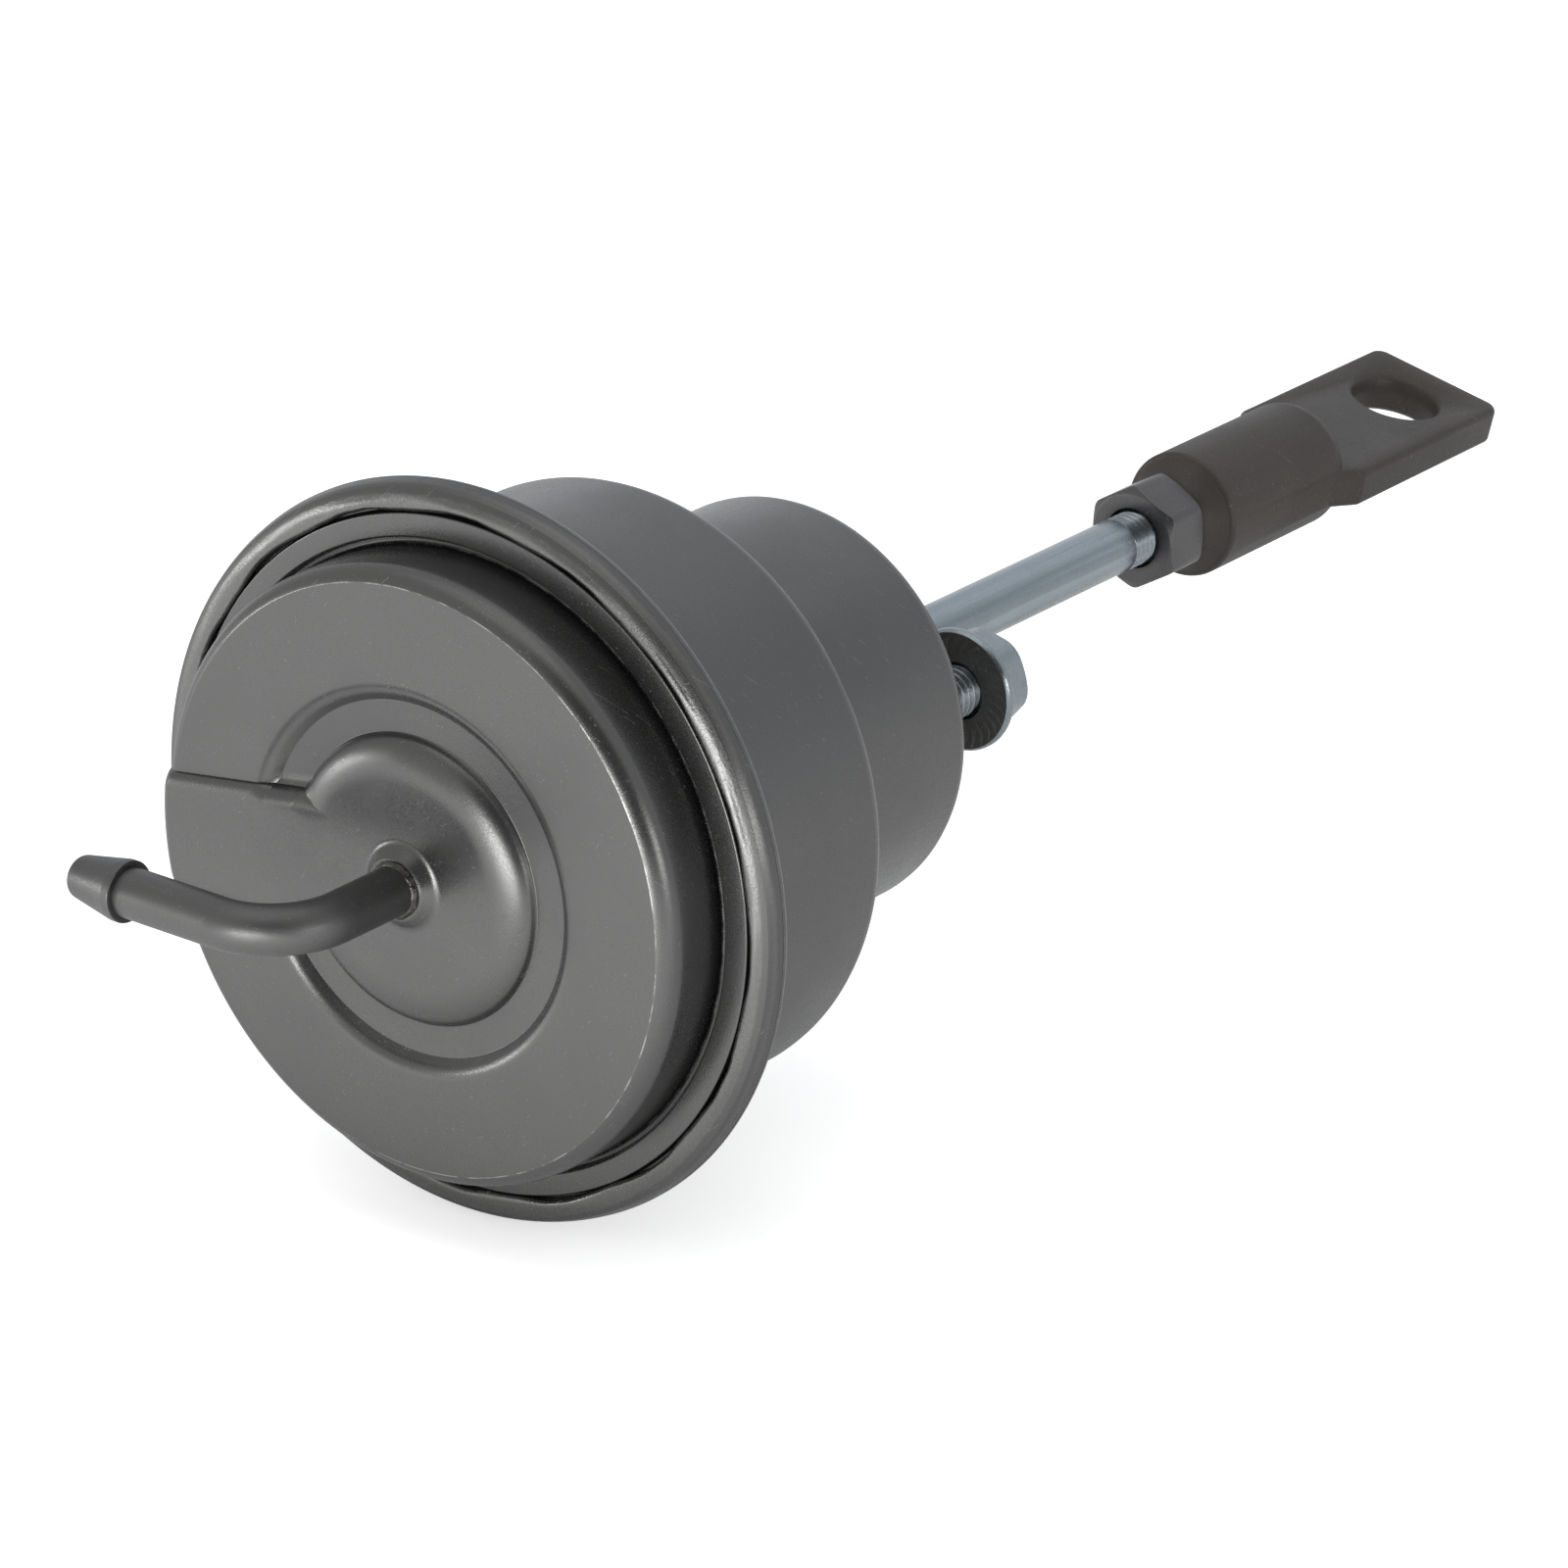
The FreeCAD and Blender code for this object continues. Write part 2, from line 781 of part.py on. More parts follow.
def make_rod_end():
    sleeve = turned([
        (sleeve_x, 0, 0),
        (sleeve_x, sleeve_radius, 0.6),
        (sleeve_shoulder_x, sleeve_radius, sleeve_shoulder_round),
        (sleeve_shoulder_x, 0, 0),
    ])
    tab = tab_solid()
    tab.rotate(ORIGIN, X_AXIS, tab_turn)
    bore = turned([
        (sleeve_x - overrun, 0, 0),
        (sleeve_x - overrun, sleeve_mouth_radius + 0.2 + overrun, 0),
        (sleeve_x + 0.2, sleeve_mouth_radius, 0),
        (sleeve_x + sleeve_mouth_depth, sleeve_mouth_radius, 0),
        (sleeve_x + sleeve_mouth_depth + 1.0, rod_radius, 0),
        (rod_end_x + 1.0, rod_radius, 0),
        (rod_end_x + 2.8, 0, 0),
    ])
    return sleeve.fuse(tab).cut(bore).removeSplitter()


def save(name, shape):
    """Writes one named piece; a one-piece compound is written as its solid."""
    solids = shape.Solids
    body = solids[0] if len(solids) == 1 else Part.makeCompound(solids)
    if not body.isValid():
        print("not valid:", name)
    print(name, "solids", len(solids), "volume", round(body.Volume, 1))
    body.exportStep("parts/" + name + ".step")


save("casing", make_casing())
save("front_cap", make_cap())
save("inlet_tube", make_inlet_tube())
save("braze_ring", make_braze_ring())
save("diaphragm", make_diaphragm())
save("piston_cup", make_piston_cup())
save("clamp_plate", make_clamp_plate())
save("backing_washer", make_backing_washer())
save("spring_seat", make_spring_seat())
save("push_rod", make_push_rod())
save("main_spring", make_main_spring())
save("stud_plate", make_stud_plate())
far_place, near_place = stud_places()
save("stud_far", make_stud(far_place))
save("stud_near", make_stud(near_place))
save("flange_nut_far", make_flange_nut(far_place))
save("flange_nut_near", make_flange_nut(near_place))
save("guide_bush", make_guide_bush())
save("lock_nut", make_lock_nut())
save("rod_end", make_rod_end())
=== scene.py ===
import json
import math

import bmesh
import bpy
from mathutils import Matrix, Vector, noise


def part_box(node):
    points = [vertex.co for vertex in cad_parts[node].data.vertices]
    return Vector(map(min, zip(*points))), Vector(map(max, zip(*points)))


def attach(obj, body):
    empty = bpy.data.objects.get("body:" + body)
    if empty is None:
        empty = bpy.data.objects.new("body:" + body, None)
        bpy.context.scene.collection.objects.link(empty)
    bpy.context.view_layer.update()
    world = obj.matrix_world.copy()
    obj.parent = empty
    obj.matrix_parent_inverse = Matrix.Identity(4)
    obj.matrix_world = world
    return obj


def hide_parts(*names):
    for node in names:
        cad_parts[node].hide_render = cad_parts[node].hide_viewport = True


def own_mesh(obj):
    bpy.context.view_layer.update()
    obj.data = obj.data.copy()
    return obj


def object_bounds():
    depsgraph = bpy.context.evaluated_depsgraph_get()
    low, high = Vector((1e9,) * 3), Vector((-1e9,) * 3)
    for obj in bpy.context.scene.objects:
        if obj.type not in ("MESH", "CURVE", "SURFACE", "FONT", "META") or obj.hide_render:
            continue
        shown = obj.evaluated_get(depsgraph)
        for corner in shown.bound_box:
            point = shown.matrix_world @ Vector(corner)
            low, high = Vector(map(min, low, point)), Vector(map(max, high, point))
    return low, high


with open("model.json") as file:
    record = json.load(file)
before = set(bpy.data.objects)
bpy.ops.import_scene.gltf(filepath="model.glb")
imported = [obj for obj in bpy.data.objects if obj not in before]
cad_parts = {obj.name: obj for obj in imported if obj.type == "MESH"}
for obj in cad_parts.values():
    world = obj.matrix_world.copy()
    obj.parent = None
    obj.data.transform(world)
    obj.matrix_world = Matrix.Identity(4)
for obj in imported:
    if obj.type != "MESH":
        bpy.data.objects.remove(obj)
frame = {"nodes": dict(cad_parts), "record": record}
cad_low, cad_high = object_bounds()

# Wastegate actuator. All sizes below are in millimetres unless a name says metres;
# mesh builders turn them into metres. The rod's axis is X, and the canister lies towards -X.
MM = 0.001

# Casing and rim
CASING_SHEET = 0.9
NECK_RADIUS = 23.1
NECK_LENGTH = 29.0
DRUM_RADIUS = 33.1
RIM_RADIUS = 40.0
RIM_REAR_X = -54.4
RIM_FRONT_X = -58.6
REAR_HOLE_RADIUS = 8.2
LIP_SIDES = 16
LIP_FLAT_RADIUS = 36.72
LIP_CORNER_LIMIT = 37.07
LIP_OFF_CENTRE = 0.42
LIP_OFF_CENTRE_DEG = 150.0
LIP_TURN_DEG = 2.5
LIP_BLEND_RADIUS = 38.6
PRESSED_FACE_RADIUS = 39.05

# Front cap
CAP_SHEET = 1.0
CAP_EDGE_RADIUS = 38.3
CAP_FLANGE_X = -57.7
LAND_X = -58.3
LAND_RADIUS = 36.6
LAND_OFF_CENTRE = 0.42
CHANNEL_X = -57.3
WALL_RADIUS = 33.3
FACE_X = -66.2
EDGE_ROUND = 2.6
EDGE_CREASE_DEG = 25.0
CREASE_ROUND = 0.45
GROOVE_OUTER_RADIUS = 20.0
GROOVE_INNER_RADIUS = 15.6
GROOVE_X = -65.0
BOSS_X = -67.2
BOSS_TOP_RADIUS = 11.0
COLLAR_X = -68.5
TUBE_RADIUS = 2.67
PAD_UPPER_HALF = 8.6
PAD_UPPER_TAPER = 0.12
PAD_LOWER_HALF = 8.3
PAD_SHOULDER = 2.0
PAD_MARGIN = 1.2

# Rod, nuts and studs
ROD_RADIUS = 3.175
ROD_THREAD_START_X = 60.4
ROD_END_X = 92.0
ROD_THREAD_PITCH = 0.907
STUD_RADIUS = 3.0
STUD_CIRCLE_RADIUS = 15.0
STUD_TURN_DEG = -5.8
STUD_THREAD_PITCH = 1.0
STUD_THREAD_RADIUS = 2.95
NUT_SEAT_X = 8.4
NUT_HEIGHT = 6.0
NUT_FLATS = 10.3
NUT_FLANGE_RADIUS = 6.9
NUT_TURN_DEG = 12.0
NUT_BORE = 2.9
NUT_CORNER_ROUND = 2.7
LOCK_NUT_X = 64.0
LOCK_NUT_HEIGHT = 6.6
LOCK_NUT_FLATS = 11.1
LOCK_NUT_TURN_DEG = 30.0
LOCK_NUT_CORNER_ROUND = 1.3
ROD_END_MOUTH_X = 74.0
ROD_END_CONE_LENGTH = 3.25
ROD_END_CONE_TIP = 4.9
ROD_END_MOUTH_RADIUS = 5.0
ROD_END_MOUTH_LIMIT = 5.1

# Steps round the turned meshes, and columns across the cap's pad and the rest of it
CASING_STEPS = 640
NUT_STEPS = 240
BEAD_STEPS = 160
BAR_STEPS = 96
PAD_STEPS = 36
CAP_STEPS = 430


# Node tree helpers

def feed(tree, socket, value):
    """Links a socket to another, or sets it to a plain value."""
    if isinstance(value, bpy.types.NodeSocket):
        tree.links.new(value, socket)
    else:
        socket.default_value = value


def put(tree, kind, inputs=None, **settings):
    """Adds a node, with its settings and the inputs named."""
    node = tree.nodes.new(kind)
    for name, value in settings.items():
        setattr(node, name, value)
    for name, value in (inputs or {}).items():
        feed(tree, node.inputs[name], value)
    return node


def calc(tree, operation, *values):
    """A Math node's result."""
    node = tree.nodes.new("ShaderNodeMath")
    node.operation = operation
    for socket, value in zip(node.inputs, values):
        feed(tree, socket, value)
    return node.outputs[0]


def named_calc(operation):
    """A function that adds one kind of Math node."""
    return lambda tree, *values: calc(tree, operation, *values)


times, plus, minus, over = (named_calc(kind) for kind in ("MULTIPLY", "ADD", "SUBTRACT", "DIVIDE"))


def vector_calc(tree, operation, *values):
    node = tree.nodes.new("ShaderNodeVectorMath")
    node.operation = operation
    for socket, value in zip(node.inputs, values):
        feed(tree, socket, value)
    return node.outputs["Value"] if operation in ("DOT_PRODUCT", "LENGTH") else node.outputs[0]


def scaled(tree, value, low, high, to_low=0.0, to_high=1.0, smooth=True):
    """A value moved from one range to another and held inside it."""
    kind = "SMOOTHSTEP" if smooth else "LINEAR"
    inputs = {"Value": value, "From Min": low, "From Max": high, "To Min": to_low, "To Max": to_high}
    return put(tree, "ShaderNodeMapRange", inputs, interpolation_type=kind).outputs["Result"]


def split(tree, place):
    """A vector's X, Y and Z."""
    return put(tree, "ShaderNodeSeparateXYZ", {"Vector": place}).outputs


def object_place(tree):
    return put(tree, "ShaderNodeTexCoord").outputs["Object"]


def noise_share(tree, place, scale, detail, roughness=0.5, seed=None):
    """A noise texture's value; with a seed it has four dimensions."""
    inputs = {"Vector": place, "Scale": scale, "Detail": detail, "Roughness": roughness}
    if seed is None:
        return put(tree, "ShaderNodeTexNoise", inputs).outputs["Fac"]
    return put(tree, "ShaderNodeTexNoise", {**inputs, "W": seed}, noise_dimensions="4D").outputs["Fac"]


def stretched(tree, place, given):
    """A place scaled by a group's inputs Along, in X, and Across, in Y and Z."""
    stretch = put(tree, "ShaderNodeCombineXYZ",
                  {"X": given["Along"], "Y": given["Across"], "Z": given["Across"]}).outputs[0]
    return vector_calc(tree, "MULTIPLY", place, stretch)


def radius_about_x(tree, at):
    return calc(tree, "SQRT", plus(tree, times(tree, at["Y"], at["Y"]), times(tree, at["Z"], at["Z"])))


def about_x(tree, x, radius, angle):
    """The place at a distance along X, a radius and an angle."""
    return put(tree, "ShaderNodeCombineXYZ", {
        "X": x, "Y": times(tree, radius, calc(tree, "COSINE", angle)),
        "Z": times(tree, radius, calc(tree, "SINE", angle))}).outputs[0]


def mixed(tree, share, first, second):
    """Two colours mixed."""
    node = tree.nodes.new("ShaderNodeMix")
    node.data_type = "RGBA"
    for name, value in (("Factor", share), ("A", first), ("B", second)):
        feed(tree, node.inputs[name], value)
    return [o for o in node.outputs if o.type == "RGBA"][0]


FLOAT = "NodeSocketFloat"
COLOUR = "NodeSocketColor"
SHAPE = "NodeSocketGeometry"
MATERIAL = "NodeSocketMaterial"
SOCKET_OF_VALUE = {int: "NodeSocketInt", float: FLOAT, tuple: COLOUR}
MASK = {"Mask": FLOAT}
SHAPES = {"Geometry": SHAPE}


def new_group(name, outputs, **inputs):
    """A node group. An input is given by its default value or its socket type, with _ for each space."""
    tree = bpy.data.node_groups.new(name, "GeometryNodeTree" if outputs is SHAPES else "ShaderNodeTree")
    for label, value in inputs.items():
        has_type = isinstance(value, str)
        socket = tree.interface.new_socket(
            label.replace("_", " "), in_out="INPUT",
            socket_type=value if has_type else SOCKET_OF_VALUE[type(value)])
        if not has_type:
            socket.default_value = value
    for label, socket_type in outputs.items():
        tree.interface.new_socket(label, in_out="OUTPUT", socket_type=socket_type)
    given = tree.nodes.new("NodeGroupInput").outputs
    result = tree.nodes.new("NodeGroupOutput").inputs
    return tree, given, result


# Shared surface effects

def build_satin_grain():
    """Fine grain and slow cloudiness of sprayed or plated metal."""
    tree, given, result = new_group(
        "satin_grain", {"Colour": COLOUR, "Roughness": FLOAT, "Height": FLOAT},
        Colour=(0.2, 0.2, 0.2, 1), Second_colour=(0.15, 0.15, 0.15, 1), Grain_scale=4500.0,
        Cloud_scale=60.0, Rough_low=0.36, Rough_high=0.46)
    place = object_place(tree)
    grain = noise_share(tree, place, given["Grain scale"], 2.0, 0.6)
    cloud = noise_share(tree, place, given["Cloud scale"], 3.0, 0.55)
    share = plus(tree, times(tree, scaled(tree, grain, 0.3, 0.7), 0.55),
                 times(tree, scaled(tree, cloud, 0.35, 0.65), 0.45))
    feed(tree, result["Colour"], mixed(tree, share, given["Colour"], given["Second colour"]))
    feed(tree, result["Roughness"], scaled(tree, share, 0.2, 0.8, given["Rough low"], given["Rough high"]))
    feed(tree, result["Height"], grain)
    return tree


def build_edge_wear_and_highlight():
    """Share of rubbed metal and painted highlight: convex edges, broken up by noise."""
    tree, given, result = new_group("edge_wear_and_highlight", MASK, Edge_width=0.0004, Amount=0.6, Break_scale=900.0)
    soft = put(tree, "ShaderNodeBevel", {"Radius": given["Edge width"]}, samples=4).outputs[0]
    sharp = put(tree, "ShaderNodeNewGeometry").outputs["Normal"]
    edge = scaled(tree, minus(tree, 1.0, vector_calc(tree, "DOT_PRODUCT", soft, sharp)), 0.02, 0.16)
    breaks = noise_share(tree, object_place(tree), given["Break scale"], 4.0)
    broken = scaled(tree, breaks, 0.38, 0.62, 0.25)
    feed(tree, result["Mask"], times(tree, times(tree, edge, broken), given["Amount"]))
    return tree


def build_hair_scratches():
    """Thin, short scratches in two directions."""
    tree, given, result = new_group("hair_scratches", MASK, Along=130.0, Across=3800.0, Density=0.3)
    place = object_place(tree)
    limit = minus(tree, 0.80, times(tree, given["Density"], 0.12))
    lines = []
    for turn in ((0.5, 0.9, 1.1), (1.9, -0.6, 2.3)):
        turned = put(tree, "ShaderNodeMapping", {"Vector": place, "Rotation": turn}).outputs[0]
        long = noise_share(tree, stretched(tree, turned, given), 1.0, 0.0)
        lines.append(scaled(tree, long, limit, plus(tree, limit, 0.03)))
    feed(tree, result["Mask"], calc(tree, "MAXIMUM", *lines))
    return tree


def build_specks_and_glints():
    """Small raised or bare specks, as dust in paint leaves them, that also serve as painted glints."""
    tree, given, result = new_group("specks_and_glints", MASK, Scale=620.0, Size=0.11, Density=0.1)
    cells = put(tree, "ShaderNodeTexVoronoi", {"Vector": object_place(tree), "Scale": given["Scale"]}).outputs
    pick = put(tree, "ShaderNodeSeparateColor", {"Color": cells["Color"]}).outputs
    dot = calc(tree, "LESS_THAN", cells["Distance"], times(tree, given["Size"], pick[0]))
    some = calc(tree, "LESS_THAN", pick[1], given["Density"])
    feed(tree, result["Mask"], times(tree, dot, some))
    return tree


def build_painted_recess_shade():
    """Share of painted shade: highest where surfaces close in on each other."""
    tree, given, result = new_group("painted_recess_shade", MASK, Reach=0.002, Amount=0.6)
    open_share = put(tree, "ShaderNodeAmbientOcclusion", {"Distance": given["Reach"]}, samples=16).outputs["AO"]
    closed = scaled(tree, open_share, 0.35, 0.92, 1.0, 0.0)
    feed(tree, result["Mask"], times(tree, closed, given["Amount"]))
    return tree


def build_crimp_marks_and_sheen():
    """Pressed, rubbed face of the rim's lip and its outer shoulder, with the coarse grain of the jaws and a lighter
    colour that is partly painted sheen.
    """
    tree, given, result = new_group(
        "crimp_marks_and_sheen", {"Mask": FLOAT, "Height": FLOAT}, Lip_front=-0.0579, Lip_outside=0.03895,
        Shoulder_inside=0.03955, Shoulder_back=-0.0568, Grain_scale=2600.0)
    place = object_place(tree)
    at = split(tree, place)
    radius = radius_about_x(tree, at)
    grain = noise_share(tree, place, given["Grain scale"], 4.0, 0.7)
    ragged = times(tree, minus(tree, noise_share(tree, place, 700.0, 3.0), 0.5), 0.0006)

    def past(value, edge, width):
        """Rises from 0 to 1 over a width from an edge; a width below 0 points the other way."""
        return scaled(tree, value, given[edge], plus(tree, given[edge], width))

    lip = times(tree, past(at["X"], "Lip front", -0.0004), past(plus(tree, radius, ragged), "Lip outside", -0.0003))
    shoulder = times(tree, times(tree, past(radius, "Shoulder inside", 0.0002),
                                 past(plus(tree, at["X"], ragged), "Shoulder back", -0.0003)), 0.7)
    marked = calc(tree, "MAXIMUM", lip, shoulder)
    feed(tree, result["Mask"], times(tree, marked, scaled(tree, grain, 0.34, 0.62, 0.55)))
    feed(tree, result["Height"], times(tree, marked, grain))
    return tree


def build_painted_ring_highlight():
    """A thin ring of painted highlight about X, broken up by noise, that fades out towards +Y."""
    tree, given, result = new_group(
        "painted_ring_highlight", MASK, Ring_radius=0.0317, Half_width=0.00009, Front=-0.066, Break_scale=420.0,
        Fade_end=0.016, Fade_start=-0.002)
    place = object_place(tree)
    at = split(tree, place)
    off = calc(tree, "ABSOLUTE", minus(tree, radius_about_x(tree, at), given["Ring radius"]))
    ring = scaled(tree, off, times(tree, given["Half width"], 0.4), given["Half width"], 1.0, 0.0)
    broken = scaled(tree, noise_share(tree, place, given["Break scale"], 3.0, 0.6), 0.42, 0.58, 0.1)
    fade = scaled(tree, at["Y"], given["Fade end"], given["Fade start"])
    forward = calc(tree, "LESS_THAN", at["X"], given["Front"])
    feed(tree, result["Mask"], times(tree, times(tree, ring, broken), times(tree, fade, forward)))
    return tree


def build_drawn_streaks():
    """Long streaks that drawing and plating leave along X."""
    tree, given, result = new_group("drawn_streaks", MASK, Along=14.0, Across=900.0)
    streak = noise_share(tree, stretched(tree, object_place(tree), given), 1.0, 3.0)
    feed(tree, result["Mask"], scaled(tree, streak, 0.4, 0.68))
    return tree


SATIN_GRAIN = build_satin_grain()
EDGE_WEAR_AND_HIGHLIGHT = build_edge_wear_and_highlight()
HAIR_SCRATCHES = build_hair_scratches()
SPECKS_AND_GLINTS = build_specks_and_glints()
PAINTED_RECESS_SHADE = build_painted_recess_shade()
CRIMP_MARKS_AND_SHEEN = build_crimp_marks_and_sheen()
DRAWN_STREAKS = build_drawn_streaks()
PAINTED_RING_HIGHLIGHT = build_painted_ring_highlight()


def use(tree, group, **values):
    """Places a shared effect in a material; a value's name has _ for each space."""
    node = tree.nodes.new("ShaderNodeGroup")
    node.node_tree = group
    for name, value in values.items():
        feed(tree, node.inputs[name.replace("_", " ")], value)
    return node.outputs


def new_material(name):
    material = bpy.data.materials.new(name)
    material.use_nodes = True
    tree = material.node_tree
    shader = tree.nodes["Principled BSDF"]
    return material, tree, shader


def rgb(red, green, blue):
    return (red, green, blue, 1.0)


def metal_finish(name, colour, second, metallic, rough, grain_scale=4500.0, cloud_scale=60.0,
                 bump=0.00001, worn_and_lit_edges=0.0, bare_metal_and_highlight_colour=None, worn_and_lit_edge_width=0.0003,
                 scratch=0.0, speck_and_glint_share=0.0, painted_shade=0.0, painted_shade_reach=0.002, crimp_and_sheen_colour=None, streaks=0.0,
                 highlight_rings=(), specular=0.5):
    """A metal or painted surface with grain, cloudiness, worn edges with painted highlight, scratches, specks with
    painted glints, crimp marks with painted sheen, painted highlight rings and painted shade in recesses.
    """
    material, tree, shader = new_material(name)
    grain = use(tree, SATIN_GRAIN, Colour=colour, Second_colour=second, Grain_scale=grain_scale,
                Cloud_scale=cloud_scale, Rough_low=rough[0], Rough_high=rough[1])
    shade = grain["Colour"]
    roughness = grain["Roughness"]
    height = times(tree, grain["Height"], bump)
    if streaks:
        lines = use(tree, DRAWN_STREAKS)["Mask"]
        shade = mixed(tree, times(tree, lines, streaks), shade, rgb(0.08, 0.085, 0.09))
    # Crimp marks: pressed grain, and a lighter colour that is partly painted sheen on the pressed face.
    if crimp_and_sheen_colour:
        marks = use(tree, CRIMP_MARKS_AND_SHEEN)
        shade = mixed(tree, marks["Mask"], shade, crimp_and_sheen_colour)
        height = plus(tree, height, times(tree, marks["Height"], 0.000022))
    if scratch:
        lines = use(tree, HAIR_SCRATCHES, Density=scratch)["Mask"]
        shade = mixed(tree, times(tree, lines, 0.3), shade, bare_metal_and_highlight_colour)
        height = minus(tree, height, times(tree, lines, bump * 2))
    # Light specks: partly dust and bare spots, partly painted glints.
    if speck_and_glint_share:
        dots = use(tree, SPECKS_AND_GLINTS, Density=speck_and_glint_share)["Mask"]
        shade = mixed(tree, times(tree, dots, 0.7), shade, bare_metal_and_highlight_colour)
        height = plus(tree, height, times(tree, dots, bump * 3))
    # Convex edges are lightened: partly rubbed metal, partly painted highlight where the light catches them.
    if worn_and_lit_edges:
        edge = use(tree, EDGE_WEAR_AND_HIGHLIGHT, Amount=worn_and_lit_edges, Edge_width=worn_and_lit_edge_width)["Mask"]
        shade = mixed(tree, edge, shade, bare_metal_and_highlight_colour)
        roughness = minus(tree, roughness, times(tree, edge, 0.12))
    # Painted shade: the colour goes towards near black where surfaces close in on each other.
    if painted_shade:
        closed = use(tree, PAINTED_RECESS_SHADE, Amount=painted_shade, Reach=painted_shade_reach)["Mask"]
        shade = mixed(tree, closed, shade, rgb(0.012, 0.011, 0.010))
    # Painted highlight: thin light rings about X, where a reflection lies along a crease or edge.
    for radius, front in highlight_rings:
        ring_highlight = use(tree, PAINTED_RING_HIGHLIGHT, Ring_radius=radius * MM, Front=front * MM)["Mask"]
        shade = mixed(tree, times(tree, ring_highlight, 0.8), shade, rgb(0.42, 0.42, 0.415))
    feed(tree, shader.inputs["Base Color"], shade)
    feed(tree, shader.inputs["Roughness"], roughness)
    shader.inputs["Metallic"].default_value = metallic
    shader.inputs["Specular IOR Level"].default_value = specular
    bumped = put(tree, "ShaderNodeBump", {"Height": height, "Strength": 1.0, "Distance": 1.0})
    feed(tree, shader.inputs["Normal"], bumped.outputs["Normal"])
    return material


def painted_finish(name, rough=(0.27, 0.34), crimp_and_sheen_colour=None, highlight_rings=()):
    return metal_finish(
        name, rgb(0.142, 0.1405, 0.1385), rgb(0.1275, 0.127, 0.1255), 0.92, rough,
        bump=0.000010, worn_and_lit_edges=0.2, bare_metal_and_highlight_colour=rgb(0.26, 0.26, 0.256), scratch=0.06, speck_and_glint_share=0.012,
        painted_shade=0.45, painted_shade_reach=0.0016, crimp_and_sheen_colour=crimp_and_sheen_colour, highlight_rings=highlight_rings)


PAINTED_STEEL = painted_finish("painted_steel_satin")
# The cap's rings are painted highlights along its crease, the land's edge and the channel.
PAINTED_CAP = painted_finish("painted_steel_cap", highlight_rings=(
    (31.72, FACE_X + 0.2), (34.22, LAND_X + 0.3), (33.42, CHANNEL_X + 0.3)))
PAINTED_TUBE = painted_finish("painted_steel_tube", rough=(0.40, 0.48))
# The crimped face's lighter colour is partly painted sheen.
CRIMPED_PAINT = painted_finish("painted_steel_crimped", crimp_and_sheen_colour=rgb(0.176, 0.175, 0.172))
ZINC_PLATE = metal_finish(
    "zinc_plate", rgb(0.315, 0.357, 0.380), rgb(0.26, 0.297, 0.317), 1.0, (0.22, 0.32),
    grain_scale=2500.0, cloud_scale=140.0, bump=0.000005, worn_and_lit_edges=0.5, bare_metal_and_highlight_colour=rgb(0.5, 0.52, 0.53),
    scratch=0.1, painted_shade=0.4, painted_shade_reach=0.0010)
ROD_PLATE = metal_finish(
    "zinc_plated_rod", rgb(0.362, 0.420, 0.452), rgb(0.325, 0.378, 0.406), 1.0, (0.20, 0.28),
    grain_scale=2500.0, cloud_scale=140.0, bump=0.000003, worn_and_lit_edges=0.35, bare_metal_and_highlight_colour=rgb(0.5, 0.52, 0.53),
    scratch=0.1, streaks=0.3)
# The seat's darker colour is partly its own finish and partly painted shade for the underside, whose reflection the
# canister hides; its specks are partly painted glints.
NUT_SEAT = metal_finish(
    "dark_nut_seat", rgb(0.19, 0.192, 0.183), rgb(0.14, 0.142, 0.137), 0.8, (0.32, 0.42),
    grain_scale=2500.0, cloud_scale=300.0, bump=0.00001, worn_and_lit_edges=0.15, bare_metal_and_highlight_colour=rgb(0.5, 0.52, 0.53),
    worn_and_lit_edge_width=0.00008, scratch=0.1, speck_and_glint_share=0.12, painted_shade=0.6, painted_shade_reach=0.0008)
DARK_PHOSPHATE = metal_finish(
    "dark_phosphate", rgb(0.073, 0.0655, 0.0600), rgb(0.061, 0.0548, 0.0503), 0.3, (0.38, 0.48),
    bump=0.000008, worn_and_lit_edges=0.6, bare_metal_and_highlight_colour=rgb(0.19, 0.172, 0.16), worn_and_lit_edge_width=0.0007, scratch=0.08, speck_and_glint_share=0.02,
    painted_shade=0.85, painted_shade_reach=0.0025, specular=0.15)
DARK_NUT_PLATE = metal_finish(
    "dark_lock_nut_plate", rgb(0.138, 0.134, 0.137), rgb(0.112, 0.109, 0.112), 0.85, (0.27, 0.36),
    bump=0.000006, worn_and_lit_edges=0.7, bare_metal_and_highlight_colour=rgb(0.32, 0.30, 0.29), worn_and_lit_edge_width=0.00035, scratch=0.08, speck_and_glint_share=0.02,
    painted_shade=0.9, painted_shade_reach=0.0025)
OILED_STEEL = metal_finish(
    "oiled_pressed_steel", rgb(0.31, 0.303, 0.296), rgb(0.245, 0.238, 0.231), 1.0, (0.3, 0.42),
    cloud_scale=90.0, worn_and_lit_edges=0.3, bare_metal_and_highlight_colour=rgb(0.5, 0.5, 0.49), scratch=0.4)
SPRING_STEEL = metal_finish(
    "oiled_spring_wire", rgb(0.24, 0.235, 0.24), rgb(0.17, 0.165, 0.17), 1.0, (0.28, 0.36),
    cloud_scale=200.0, scratch=0.2, bare_metal_and_highlight_colour=rgb(0.5, 0.5, 0.5))
BUSH_BRONZE = metal_finish(
    "sintered_bronze", rgb(0.50, 0.36, 0.19), rgb(0.36, 0.25, 0.13), 1.0, (0.38, 0.52),
    grain_scale=3000.0, bump=0.00002, worn_and_lit_edges=0.3, bare_metal_and_highlight_colour=rgb(0.75, 0.58, 0.34))
